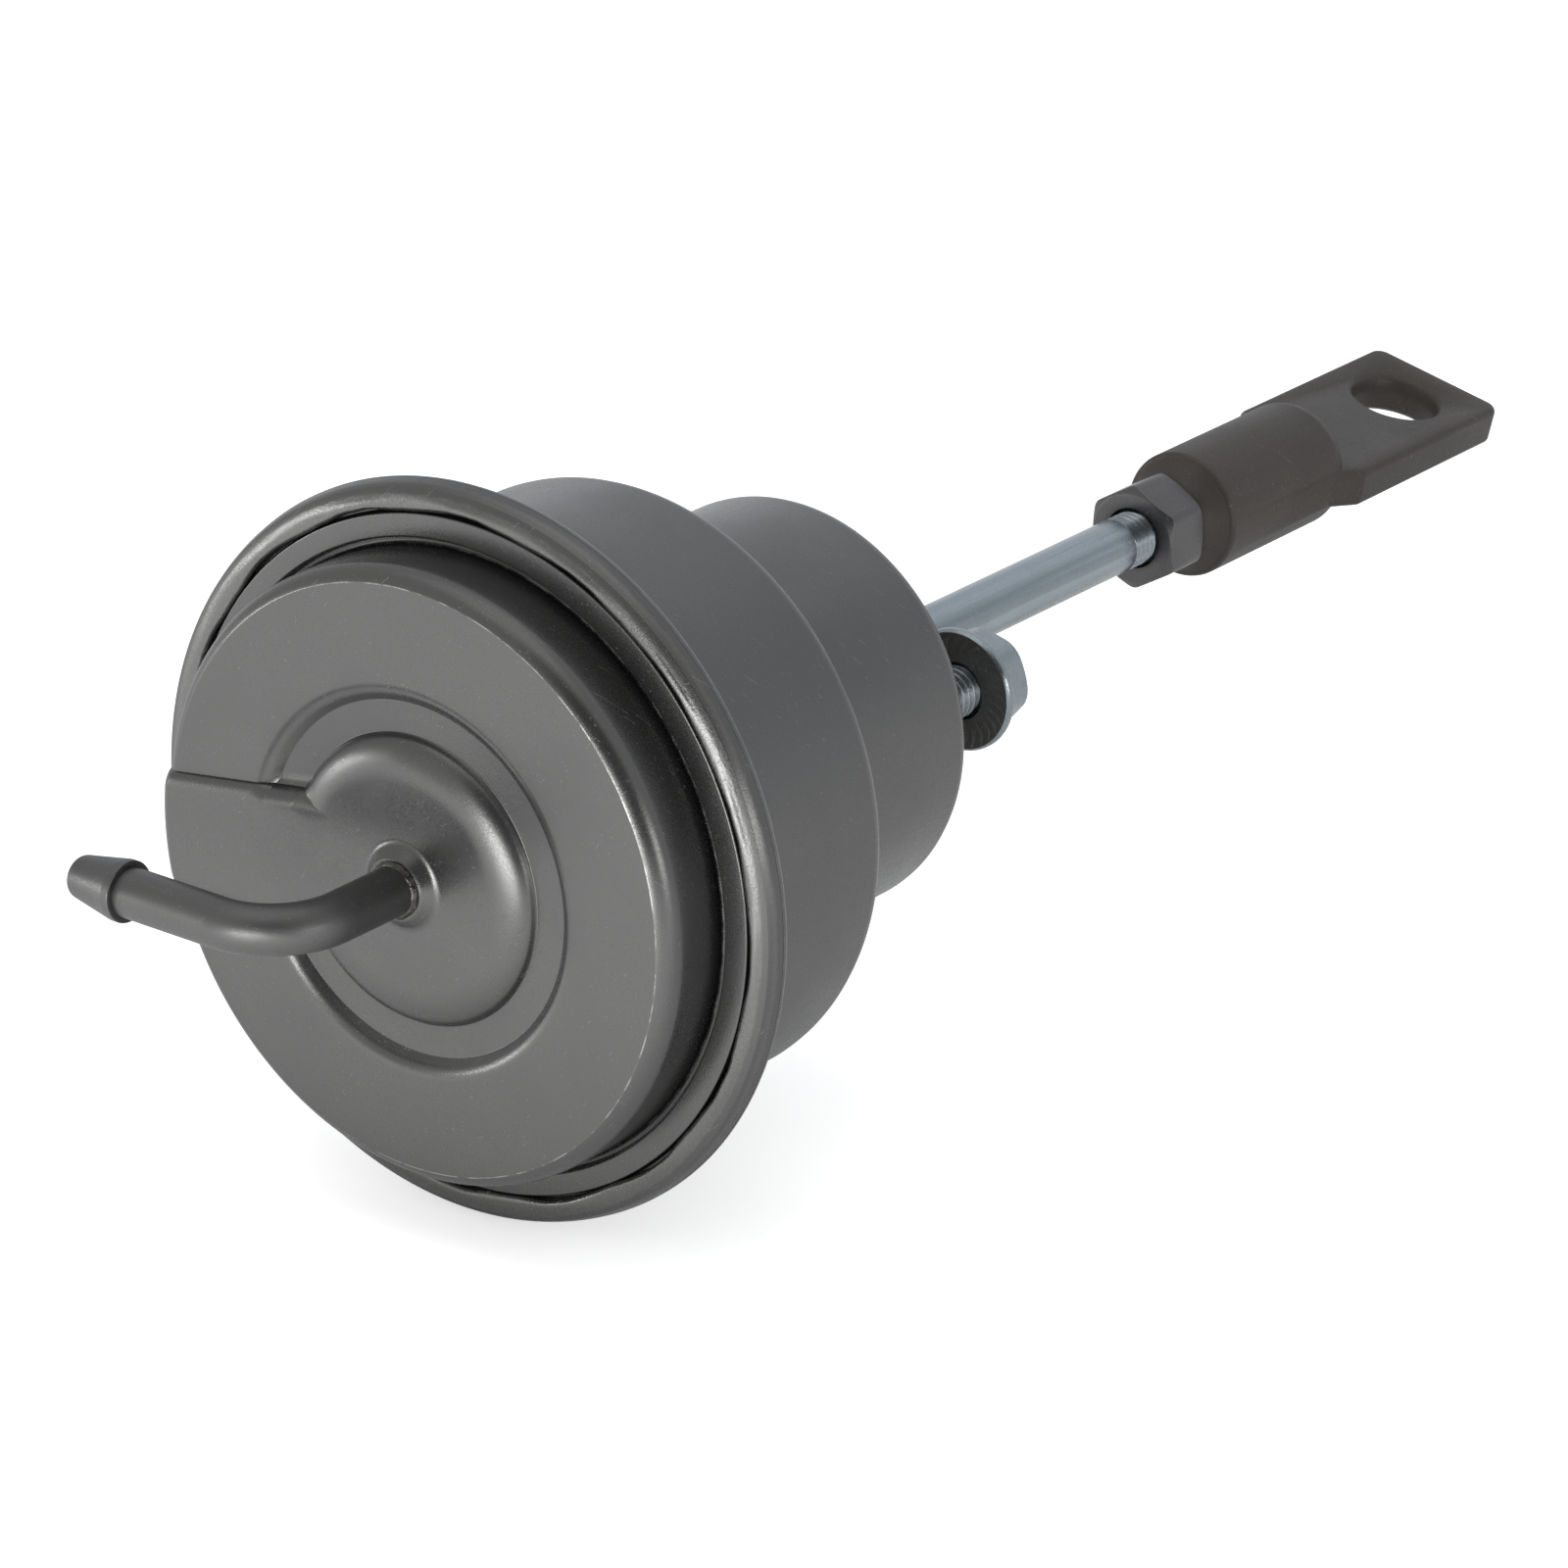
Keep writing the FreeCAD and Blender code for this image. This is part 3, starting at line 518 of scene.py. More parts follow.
BLACK_RUBBER = metal_finish(
    "black_rubber", rgb(0.03, 0.03, 0.03), rgb(0.045, 0.045, 0.045), 0.0, (0.6, 0.75),
    grain_scale=2000.0, bump=0.00003)
# The braze's dense light specks are painted glints on the dark bead.
BRAZE_METAL = metal_finish(
    "painted_braze", rgb(0.044, 0.0425, 0.041), rgb(0.118, 0.114, 0.11), 0.9, (0.25, 0.4),
    grain_scale=2600.0, cloud_scale=700.0, bump=0.00004, speck_and_glint_share=0.35, bare_metal_and_highlight_colour=rgb(0.55, 0.55, 0.53))

FINISHES = {
    "painted_steel": PAINTED_STEEL,
    "zinc_steel": ZINC_PLATE,
    "dark_steel": DARK_PHOSPHATE,
    "plain_steel": OILED_STEEL,
    "spring_steel": SPRING_STEEL,
    "bush_bronze": BUSH_BRONZE,
    "black_rubber": BLACK_RUBBER,
    "braze_metal": BRAZE_METAL,
}
for part in frame["record"]["subparts"]:
    node = frame["nodes"][part["node"]]
    node.data.materials.clear()
    node.data.materials.append(FINISHES[part["material_slot"]])
frame["nodes"]["inlet_tube"].data.materials[0] = PAINTED_TUBE


# Mesh helpers

def rounded_outline(corners, arc_points=4):
    """Closed outline through (x, radius, corner radius) points, with each corner an arc."""
    outline = []
    count = len(corners)
    for i in range(count):
        before = Vector(corners[i - 1][:2])
        here = Vector(corners[i][:2])
        after = Vector(corners[(i + 1) % count][:2])
        size = corners[i][2]
        into = (before - here).normalized()
        out = (after - here).normalized()
        half = math.acos(max(-1.0, min(1.0, into.dot(out)))) / 2
        if size <= 0 or half > math.pi / 2 - 0.01:
            outline.append(here)
            continue
        centre = here + (into + out).normalized() * size / math.sin(half)
        start = here + into * size / math.tan(half) - centre
        end = here + out * size / math.tan(half) - centre
        sweep = start.angle_signed(end)
        for k in range(arc_points + 1):
            a = -sweep * k / arc_points
            outline.append(centre + Vector((
                start.x * math.cos(a) - start.y * math.sin(a),
                start.x * math.sin(a) + start.y * math.cos(a))))
    return outline


def ring_mesh(name, points, count, size):
    """Closed mesh of count rings that have size points each."""
    faces = []
    for i in range(count):
        j = (i + 1) % count
        for k in range(size):
            m = (k + 1) % size
            faces.append((i * size + k, i * size + m, j * size + m, j * size + k))
    mesh = bpy.data.meshes.new(name)
    mesh.from_pydata(points, [], faces)
    return mesh


def turned_mesh(name, outline_at, count, centre=(0.0, 0.0)):
    """Closed mesh about X: outline_at(angle) gives the same number of (x, radius) points each time."""
    points = []
    for i in range(count):
        a = 2 * math.pi * i / count
        ring = outline_at(a)
        for x, r in ring:
            points.append((x * MM, (centre[0] + r * math.cos(a)) * MM, (centre[1] + r * math.sin(a)) * MM))
    mesh = ring_mesh(name, points, count, len(ring))
    mesh.validate()
    return mesh


def shift_mesh(mesh, place):
    """Moves a mesh to a (y, z) place."""
    for vertex in mesh.vertices:
        vertex.co.y += place[0] * MM
        vertex.co.z += place[1] * MM


def within(value):
    """A value held between 0 and 1."""
    return max(0.0, min(1.0, value))


def new_object(name, data):
    """An object that is in the scene."""
    thing = bpy.data.objects.new(name, data)
    bpy.context.scene.collection.objects.link(thing)
    return thing


def tidy_mesh(mesh, weld=0.000001, crease_deg=32.0):
    """Welds doubles, turns the faces outwards, and shades smooth up to the crease angle."""
    work = bmesh.new()
    work.from_mesh(mesh)
    bmesh.ops.remove_doubles(work, verts=work.verts, dist=weld)
    bmesh.ops.dissolve_degenerate(work, edges=work.edges, dist=weld / 10)
    bmesh.ops.recalc_face_normals(work, faces=work.faces)
    work.to_mesh(mesh)
    work.free()
    mesh.shade_smooth()
    mesh.set_sharp_from_angle(angle=math.radians(crease_deg))
    return mesh


def piece(mesh, body, material, slot, *replaced):
    """A named piece that rides on a CAD body and may stand for CAD nodes."""
    shown = new_object(mesh.name, mesh)
    if material is not None:
        mesh.materials.clear()
        mesh.materials.append(material)
    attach(shown, body)
    if replaced:
        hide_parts(*replaced)
    return shown


def polygon_radius(angle, flat_radius, sides, corner_round):
    """Radius of a rounded polygon in a direction; a corner lies at angle 0."""
    half = math.pi / sides
    turn = (angle + half) % (2 * half) - half
    reach = (flat_radius - corner_round) / math.cos(half)
    edge = math.atan2(corner_round * math.sin(half), reach + corner_round * math.cos(half))
    if abs(turn) < edge:
        return reach * math.cos(turn) + math.sqrt(corner_round ** 2 - (reach * math.sin(turn)) ** 2)
    return flat_radius / math.cos(half - abs(turn))


def evaluated_mesh(host, name):
    """The plain mesh that an object's geometry nodes make."""
    bpy.context.view_layer.update()
    graph = bpy.context.evaluated_depsgraph_get()
    mesh = bpy.data.meshes.new_from_object(host.evaluated_get(graph))
    mesh.name = name
    return mesh


def grown(name, tree, values, host_mesh=None):
    """Runs a geometry tree on a host object and returns the mesh that it makes."""
    host = new_object(name + "_host", host_mesh or bpy.data.meshes.new(name + "_host"))
    nodes = host.modifiers.new("grow", "NODES")
    nodes.node_group = tree
    for item in tree.interface.items_tree:
        if item.in_out == "INPUT" and item.name in values:
            nodes[item.identifier] = values[item.name]
    mesh = evaluated_mesh(host, name)
    host.modifiers.clear()
    bpy.data.objects.remove(host)
    return mesh


# Geometry trees

def unit_grid(tree, columns, rows):
    return put(tree, "GeometryNodeMeshGrid", {
        "Size X": 1.0, "Size Y": 1.0, "Vertices X": columns, "Vertices Y": rows}).outputs["Mesh"]


def end_shape(tree, given, result, shape):
    """Ends a geometry group: instances made real, then the material."""
    whole = put(tree, "GeometryNodeRealizeInstances", {"Geometry": shape})
    named = put(tree, "GeometryNodeSetMaterial", {"Geometry": whole.outputs[0], "Material": given["Material"]})
    feed(tree, result["Geometry"], named.outputs[0])
    return tree


def build_screw_thread():
    """A V thread along X: a grid whose rows follow the helix, wrapped round the axis."""
    tree, given, result = new_group(
        "screw_thread", SHAPES, Crest_radius=0.003, Root_radius=0.0025, Pitch=0.001, Start=0.0,
        Length=0.01, Rows_a_turn=8, Columns=65, Lead=0.0008, Material=MATERIAL)
    turns = plus(tree, calc(tree, "CEIL", over(tree, given["Length"], given["Pitch"])), 2.0)
    rows = plus(tree, times(tree, turns, given["Rows a turn"]), 1.0)
    at = split(tree, put(tree, "GeometryNodeInputPosition").outputs[0])
    round_share = plus(tree, at["X"], 0.5)
    along_turns = times(tree, plus(tree, at["Y"], 0.5), turns)
    ridge = scaled(tree, calc(tree, "PINGPONG", along_turns, 0.5), 0.05, 0.45, smooth=False)
    free = times(tree, minus(tree, plus(tree, along_turns, round_share), 2.0), given["Pitch"])
    held = calc(tree, "MINIMUM", calc(tree, "MAXIMUM", free, 0.0), given["Length"])
    from_end = calc(tree, "MINIMUM", held, minus(tree, given["Length"], held))
    lead = scaled(tree, from_end, 0.0, given["Lead"])
    depth = times(tree, ridge, minus(tree, given["Crest radius"], given["Root radius"]))
    radius = plus(tree, given["Root radius"], times(tree, depth, lead))
    moved = about_x(tree, plus(tree, given["Start"], held), radius, times(tree, round_share, 2 * math.pi))
    shaped = put(tree, "GeometryNodeSetPosition",
                 {"Geometry": unit_grid(tree, given["Columns"], rows), "Position": moved})
    return end_shape(tree, given, result, shaped.outputs[0])


def build_nut_serrations():
    """Curved ratchet ridges on points round a circle, facing -X."""
    tree, given, result = new_group(
        "nut_serrations", SHAPES, Count=24, Inner_radius=0.0043, Outer_radius=0.0064, Seat=0.0084,
        Height=0.0002, Width=0.0004, Swirl=0.25, Material=MATERIAL)
    centres = put(tree, "GeometryNodePoints", {"Count": given["Count"]})
    index = put(tree, "GeometryNodeInputIndex").outputs[0]
    angle = over(tree, times(tree, index, 2 * math.pi), given["Count"])
    at = split(tree, put(tree, "GeometryNodeInputPosition").outputs[0])
    share = plus(tree, at["X"], 0.5)
    reach = scaled(tree, share, 0.0, 1.0, given["Inner radius"], given["Outer radius"], smooth=False)
    bend = plus(tree, times(tree, times(tree, share, share), given["Swirl"]),
                over(tree, times(tree, at["Y"], given["Width"]), reach))
    crest = times(tree, scaled(tree, calc(tree, "ABSOLUTE", at["Y"]), 0.0, 0.5, 1.0, -0.25),
                  scaled(tree, calc(tree, "ABSOLUTE", at["X"]), 0.38, 0.5, 1.0, 0.0))
    front = minus(tree, given["Seat"], times(tree, crest, given["Height"]))
    shaped = put(tree, "GeometryNodeSetPosition",
                 {"Geometry": unit_grid(tree, 9, 5), "Position": about_x(tree, front, reach, bend)})
    turn = put(tree, "ShaderNodeCombineXYZ", {"X": angle}).outputs[0]
    copies = put(tree, "GeometryNodeInstanceOnPoints", {
        "Points": centres.outputs[0], "Instance": shaped.outputs[0], "Rotation": turn})
    return end_shape(tree, given, result, copies.outputs[0])


def build_coil_spring():
    """A round wire wound about X, with a closed turn at each end."""
    tree, given, result = new_group(
        "coil_spring", SHAPES, Start=-0.0583, Length=0.0536, Coil_radius=0.0165, Wire_radius=0.0013,
        Turns=7.0, Points_a_turn=40, Material=MATERIAL)
    count = plus(tree, times(tree, given["Turns"], given["Points a turn"]), 1.0)
    line = put(tree, "GeometryNodeMeshLine", {"Count": count, "Offset": (0.0, 0.0, 0.001)})
    turn = over(tree, put(tree, "GeometryNodeInputIndex").outputs[0], given["Points a turn"])
    last_start = minus(tree, given["Turns"], 1.0)
    closed = times(tree, given["Wire radius"], 2.06)
    free = over(tree, minus(tree, given["Length"], times(tree, closed, 2.0)), minus(tree, given["Turns"], 2.0))
    first = times(tree, closed, calc(tree, "MINIMUM", turn, 1.0))
    open_turns = minus(tree, calc(tree, "MINIMUM", turn, last_start), 1.0)
    middle = times(tree, free, calc(tree, "MAXIMUM", open_turns, 0.0))
    last = times(tree, closed, calc(tree, "MAXIMUM", minus(tree, turn, last_start), 0.0))
    height = plus(tree, plus(tree, first, middle), last)
    wound = put(tree, "GeometryNodeSetPosition", {
        "Geometry": line.outputs["Mesh"], "Position": about_x(
            tree, plus(tree, given["Start"], height), given["Coil radius"], times(tree, turn, 2 * math.pi))})
    path = put(tree, "GeometryNodeMeshToCurve", {"Mesh": wound.outputs[0]})
    section = put(tree, "GeometryNodeCurvePrimitiveCircle", {"Resolution": 16, "Radius": given["Wire radius"]})
    wire = put(tree, "GeometryNodeCurveToMesh",
               {"Curve": path.outputs[0], "Profile Curve": section.outputs[0], "Fill Caps": True})
    return end_shape(tree, given, result, wire.outputs[0])


def build_crimped_lip():
    """Presses a turned rim's lip into flats, with the rough edge that the jaws leave."""
    tree, given, result = new_group(
        "crimped_lip", SHAPES, Geometry=SHAPE, Sides=16, Flat_radius=0.0372, Corner_limit=0.03785,
        Turn=0.0436, Off_centre=0.0003, Off_centre_angle=2.6, Edge_roughness=0.00007,
        Press_depth=0.00004, Grain=0.000005, Seed=3.0, Material=MATERIAL)
    where = put(tree, "GeometryNodeInputPosition").outputs[0]
    at = split(tree, where)
    weight, pressed = (put(tree, "GeometryNodeInputNamedAttribute", {"Name": name}, data_type="FLOAT").outputs[0]
                       for name in ("lip", "pressed"))
    angle = calc(tree, "ARCTAN2", at["Z"], at["Y"])
    step = over(tree, 2 * math.pi, given["Sides"])
    inside = calc(tree, "FLOORED_MODULO", minus(tree, angle, given["Turn"]), step)
    off_middle = minus(tree, inside, over(tree, step, 2.0))
    wanted = calc(tree, "SMOOTH_MIN", over(tree, given["Flat radius"], calc(tree, "COSINE", off_middle)),
                  given["Corner limit"], 0.0002)
    slow, middling, fine = (noise_share(tree, where, scale, detail, seed=given["Seed"])
                            for scale, detail in ((90.0, 2.0), (420.0, 3.0), (1500.0, 2.0)))
    rough = times(tree, minus(tree, plus(tree, middling, slow), 1.0), times(tree, given["Edge roughness"], 4.0))
    drift = times(tree, given["Off centre"],
                  calc(tree, "COSINE", minus(tree, angle, given["Off centre angle"])))
    beyond_flat = minus(tree, wanted, given["Flat radius"])
    outward = times(tree, weight, plus(tree, plus(tree, beyond_flat, drift), rough))
    flats = times(tree, given["Press depth"], calc(tree, "COSINE", times(tree, off_middle, given["Sides"])))
    grains = times(tree, minus(tree, plus(tree, fine, middling), 1.0), times(tree, given["Grain"], 4.0))
    dent = times(tree, pressed, plus(tree, flats, grains))
    moved = put(tree, "GeometryNodeSetPosition", {
        "Geometry": given["Geometry"], "Offset": about_x(tree, dent, outward, angle)})
    return end_shape(tree, given, result, moved.outputs[0])


SCREW_THREAD = build_screw_thread()
NUT_SERRATIONS = build_nut_serrations()
COIL_SPRING = build_coil_spring()
CRIMPED_LIP = build_crimped_lip()


# Casing: turned shell with the stud holes left to the shank collars, then the crimped lip

def casing_outline():
    inner = CASING_SHEET
    x0 = RIM_FRONT_X
    return rounded_outline([
        (0, REAR_HOLE_RADIUS, 0.12),
        (0, NECK_RADIUS, 2.4),
        (-NECK_LENGTH, NECK_RADIUS, 1.6),
        (-NECK_LENGTH, DRUM_RADIUS, 2.4),
        (RIM_REAR_X, DRUM_RADIUS, 1.4),
        (RIM_REAR_X, RIM_RADIUS, 1.8),
        (x0 + 1.7, RIM_RADIUS, 3.9),
        (x0 + 0.68, RIM_RADIUS - 0.62, 0.16),
        (x0 + 0.62, PRESSED_FACE_RADIUS + 0.22, 0),
        (x0 + 0.42, PRESSED_FACE_RADIUS - 0.06, 0),
        (x0 + 0.25, 38.62, 0),
        (x0 + 0.11, 38.22, 0),
        (x0 + 0.03, 37.85, 0),
        (x0, 37.5, 0),
        (x0, LIP_FLAT_RADIUS, 0.6),
        (x0 + inner, LIP_FLAT_RADIUS, 0.1),
        (x0 + inner, 38.5, 0.1),
        (x0 + 1.6, 39.0, 0.1),
        (RIM_REAR_X - inner, RIM_RADIUS - inner, 0.9),
        (RIM_REAR_X - inner, DRUM_RADIUS - inner, 2.3),
        (-NECK_LENGTH - inner, DRUM_RADIUS - inner, 1.5),
        (-NECK_LENGTH - inner, NECK_RADIUS - inner, 2.5),
        (-inner, NECK_RADIUS - inner, 1.5),
        (-inner, REAR_HOLE_RADIUS, 0),
    ], arc_points=6)


def finely_spaced(outline, step, test):
    """Adds points on the runs of an outline where test(x, radius) says so."""
    dense = []
    for i, here in enumerate(outline):
        dense.append(here)
        after = outline[(i + 1) % len(outline)]
        gap = (after - here).length
        if gap > step and test(*here) and test(*after):
            parts = int(gap / step) + 1
            dense += [here.lerp(after, k / parts) for k in range(1, parts)]
    return dense


def on_lip(x, radius):
    return x < RIM_FRONT_X + 1.0 and radius < PRESSED_FACE_RADIUS + 0.1


def make_casing():
    outline = finely_spaced(casing_outline(), 0.28, on_lip)
    mesh = turned_mesh("rim_casing", lambda a: outline, CASING_STEPS)
    lip = mesh.attributes.new("lip", "FLOAT", "POINT")
    pressed = mesh.attributes.new("pressed", "FLOAT", "POINT")
    for i, vertex in enumerate(mesh.vertices):
        x = vertex.co.x / MM
        radius = math.hypot(vertex.co.y, vertex.co.z) / MM
        if on_lip(x, radius):
            share = within((LIP_BLEND_RADIUS - radius) / (LIP_BLEND_RADIUS - LIP_FLAT_RADIUS))
            lip.data[i].value = share
            front = within((RIM_FRONT_X + 0.4 - x) / 0.3)
            pressed.data[i].value = front * min(1.0, share * 2)
    mesh = grown("rim_casing", CRIMPED_LIP, {
        "Sides": LIP_SIDES, "Flat radius": LIP_FLAT_RADIUS * MM, "Corner limit": LIP_CORNER_LIMIT * MM,
        "Turn": math.radians(LIP_TURN_DEG), "Off centre": LIP_OFF_CENTRE * MM,
        "Off centre angle": math.radians(LIP_OFF_CENTRE_DEG), "Material": CRIMPED_PAINT}, mesh)
    tidy_mesh(mesh)
    piece(mesh, "canister", None, "painted_steel", "casing")


# Front cap: flange, land, channel and wall, the face with its groove, boss and collar, and the keyhole pad

def boss_flank():
    """The boss from its foot to its top: a quarter of an oval, steep at the foot."""
    flank = []
    for k in range(13):
        turn = math.radians(84 * (1 - k / 12))
        flank.append((BOSS_X + (GROOVE_X - BOSS_X) * (1 - math.cos(turn)),
                      BOSS_TOP_RADIUS + (GROOVE_INNER_RADIUS - BOSS_TOP_RADIUS) * math.sin(turn), 0))
    return flank


def cap_skin():
    """Outer skin from the flange's edge to the collar's mouth, as (x, radius)."""
    rim = rounded_outline([
        (CAP_FLANGE_X, CAP_EDGE_RADIUS, 0),
        (CAP_FLANGE_X, CAP_EDGE_RADIUS - 0.15, 0),
        (CAP_FLANGE_X + 0.3, CAP_EDGE_RADIUS - 0.25, 0.05),
        (CAP_FLANGE_X + 0.3, LAND_RADIUS + 0.2, 0.1),
        (LAND_X, LAND_RADIUS, 0.22),
        (LAND_X, 34.2, 0.3),
        (CHANNEL_X, 34.0, 0),
        (CHANNEL_X, WALL_RADIUS, 0.5),
        (FACE_X + EDGE_ROUND, WALL_RADIUS, 0),
    ], arc_points=6)[:-1]
    middle = WALL_RADIUS - EDGE_ROUND
    back = FACE_X + EDGE_ROUND * math.cos(math.radians(EDGE_CREASE_DEG))
    edge = []
    for k in range(13):
        tilt = math.radians(90 + (EDGE_CREASE_DEG - 90) * k / 12)
        edge.append(Vector((back - EDGE_ROUND * math.cos(tilt), middle + EDGE_ROUND * math.sin(tilt))))
    crease = edge[-1]
    for k in range(1, 6):
        tilt = math.radians(EDGE_CREASE_DEG * (1 - k / 5))
        top = crease.x + CREASE_ROUND * math.cos(math.radians(EDGE_CREASE_DEG))
        inwards = crease.y - CREASE_ROUND * math.sin(math.radians(EDGE_CREASE_DEG))
        edge.append(Vector((top - CREASE_ROUND * math.cos(tilt), inwards + CREASE_ROUND * math.sin(tilt))))
    centre = rounded_outline([
        (edge[-1].x, edge[-1].y, 0),
        (FACE_X, GROOVE_OUTER_RADIUS + 0.45, 2.3),
        (GROOVE_X, GROOVE_OUTER_RADIUS - 0.85, 0.12),
        (GROOVE_X, GROOVE_INNER_RADIUS + 0.15, 0.12),
    ] + boss_flank() + [
        (BOSS_X - 0.04, 4.6, 1.2),
        (COLLAR_X + 0.15, 3.5, 0.1),
        (COLLAR_X, 3.3, 0.1),
        (COLLAR_X, TUBE_RADIUS, 0),
    ], arc_points=9)[1:]
    walk = []
    wall_foot = rim[-1]
    for k in range(1, 9):
        walk.append(wall_foot.lerp(edge[0], k / 9))
    face = [edge[-1].lerp(centre[0], k / 6) for k in range(1, 6)]
    return rim + walk + edge + face + centre


def cap_back():
    """Inner skin, from the collar's mouth back to the flange's edge."""
    inner = WALL_RADIUS - CAP_SHEET
    return rounded_outline([
        (BOSS_X + CAP_SHEET, TUBE_RADIUS, 0),
        (BOSS_X + CAP_SHEET, BOSS_TOP_RADIUS + 1.0, 1.0),
        (GROOVE_X + CAP_SHEET, GROOVE_INNER_RADIUS - 0.6, 0.5),
        (GROOVE_X + CAP_SHEET, GROOVE_OUTER_RADIUS, 0.5),
        (FACE_X + CAP_SHEET, GROOVE_OUTER_RADIUS + 0.7, 0.5),
        (FACE_X + CAP_SHEET, inner, 1.8),
        (CHANNEL_X + CAP_SHEET, inner, 0.5),
        (CHANNEL_X + CAP_SHEET, 35.0, 0.4),
        (CAP_FLANGE_X + CAP_SHEET, 35.2, 0),
        (CAP_FLANGE_X + CAP_SHEET, CAP_EDGE_RADIUS, 0),
    ], arc_points=3)


def pad_lift(x, radius):
    """How far the pad raises a point of the skin."""
    if radius > WALL_RADIUS + 0.05 or radius < BOSS_TOP_RADIUS - 1.0:
        return 0.0
    if x > FACE_X and radius > GROOVE_OUTER_RADIUS + 2.0:
        top = FACE_X + EDGE_ROUND * math.cos(math.radians(EDGE_CREASE_DEG))
        return (FACE_X - BOSS_X) * within((CHANNEL_X - x) / (CHANNEL_X - top))
    return max(0.0, x - BOSS_X)


def upper_pad_line(depth, radius):
    reach = radius * math.hypot(1.0, PAD_UPPER_TAPER)
    return math.asin((PAD_UPPER_HALF - depth) / reach) - math.atan(PAD_UPPER_TAPER)


def lower_pad_line(depth, radius):
    return -math.asin((PAD_LOWER_HALF - depth) / radius)


def cap_columns():
    """The lines that the skin is drawn along: they follow the pad's edges, then spread round the rest."""
    shoulder = (2.0, 1.6, 1.25, 0.95, 0.68, 0.45, 0.27, 0.13, 0.04, 0.0, -0.3, -0.7, -PAD_MARGIN)

    def side(kind, depths):
        shares = [1 - max(0.0, depth) / PAD_SHOULDER for depth in depths]
        return [(kind, depth, math.sqrt(1 - share * share) if depth > 0 else 0.0)
                for depth, share in zip(depths, shares)]

    pad = [("pad", k / PAD_STEPS, 1.0) for k in range(1, PAD_STEPS)]
    rest = [("rest", k / CAP_STEPS, 0.0) for k in range(1, CAP_STEPS)]
    return pad + side("upper", shoulder) + rest + side("lower", shoulder[::-1])


def column_angle(kind, value, radius):
    reach = max(radius, GROOVE_INNER_RADIUS)
    if kind == "upper":
        return upper_pad_line(value, reach)
    if kind == "lower":
        return lower_pad_line(value, reach)
    if kind == "pad":
        low, high = lower_pad_line(PAD_SHOULDER, reach), upper_pad_line(PAD_SHOULDER, reach)
    else:
        low, high = upper_pad_line(-PAD_MARGIN, reach), lower_pad_line(-PAD_MARGIN, reach) + 2 * math.pi
    return low + (high - low) * value


def make_front_cap():
    front = [(p.x, p.y, pad_lift(p.x, p.y)) for p in cap_skin()]
    ring = front + [(p.x, p.y, 0.0) for p in cap_back()]
    columns = cap_columns()
    points = []
    for kind, value, share in columns:
        for x, radius, lift in ring:
            angle = column_angle(kind, value, radius)
            raised = share
            if share == 0.0 and kind in ("upper", "lower"):
                in_groove = within((20.2 - radius) / 1.2) * within(radius - 14.0)
                raised = in_groove * 0.2 * (1 + value / PAD_MARGIN) ** 2
            grown_radius = radius
            if LAND_X - 0.1 < x < CHANNEL_X + 0.1 and 35.0 < radius < 37.0:
                grown_radius += LAND_OFF_CENTRE * math.cos(angle - math.radians(LIP_OFF_CENTRE_DEG))
            points.append(((x - raised * lift) * MM, grown_radius * math.cos(angle) * MM,
                           grown_radius * math.sin(angle) * MM))
    mesh = ring_mesh("pressed_front_cap", points, len(columns), len(ring))
    tidy_mesh(mesh, crease_deg=20.0)
    piece(mesh, "canister", PAINTED_CAP, "painted_steel", "front_cap")


def make_braze_bead():
    """Uneven bead round the tube, where it enters the collar."""
    def outline(angle):
        way = Vector((math.cos(angle) * 2.2, math.sin(angle) * 2.2, 0.0))
        spread = 0.16 * noise.noise(way) + 0.07 * noise.noise(way * 4.1)
        rise = 0.14 * noise.noise(way * 1.7 + Vector((5, 1, 2))) + 0.06 * noise.noise(way * 5.3)
        return rounded_outline([
            (COLLAR_X + 0.1, TUBE_RADIUS - 0.04, 0),
            (COLLAR_X + 0.1, TUBE_RADIUS + 0.42 + spread, 0),
            (COLLAR_X - 0.12, TUBE_RADIUS + 0.40 + spread, 0.1),
            (COLLAR_X - 0.42 - rise, TUBE_RADIUS + 0.14, 0.16),
            (COLLAR_X - 0.5 - rise, TUBE_RADIUS - 0.04, 0),
        ], arc_points=3)
    mesh = tidy_mesh(turned_mesh("braze_bead", outline, BEAD_STEPS), crease_deg=50.0)
    piece(mesh, "canister", BRAZE_METAL, "braze_metal", "braze_ring")


# Push rod, studs and their threads

def make_threaded_bar(name, corners, thread, body, finish, slot, place, replaced):
    """A turned bar and, as a second piece, the thread that covers its threaded length."""
    outline = rounded_outline(corners, arc_points=3)
    bar = tidy_mesh(turned_mesh(name, lambda a: outline, BAR_STEPS, centre=place))
    piece(bar, body, finish, slot, replaced)
    helix = grown(name + "_thread", SCREW_THREAD, {**thread, "Material": finish})
    shift_mesh(helix, place)
    tidy_mesh(helix, crease_deg=80.0)
    piece(helix, body, None, slot)


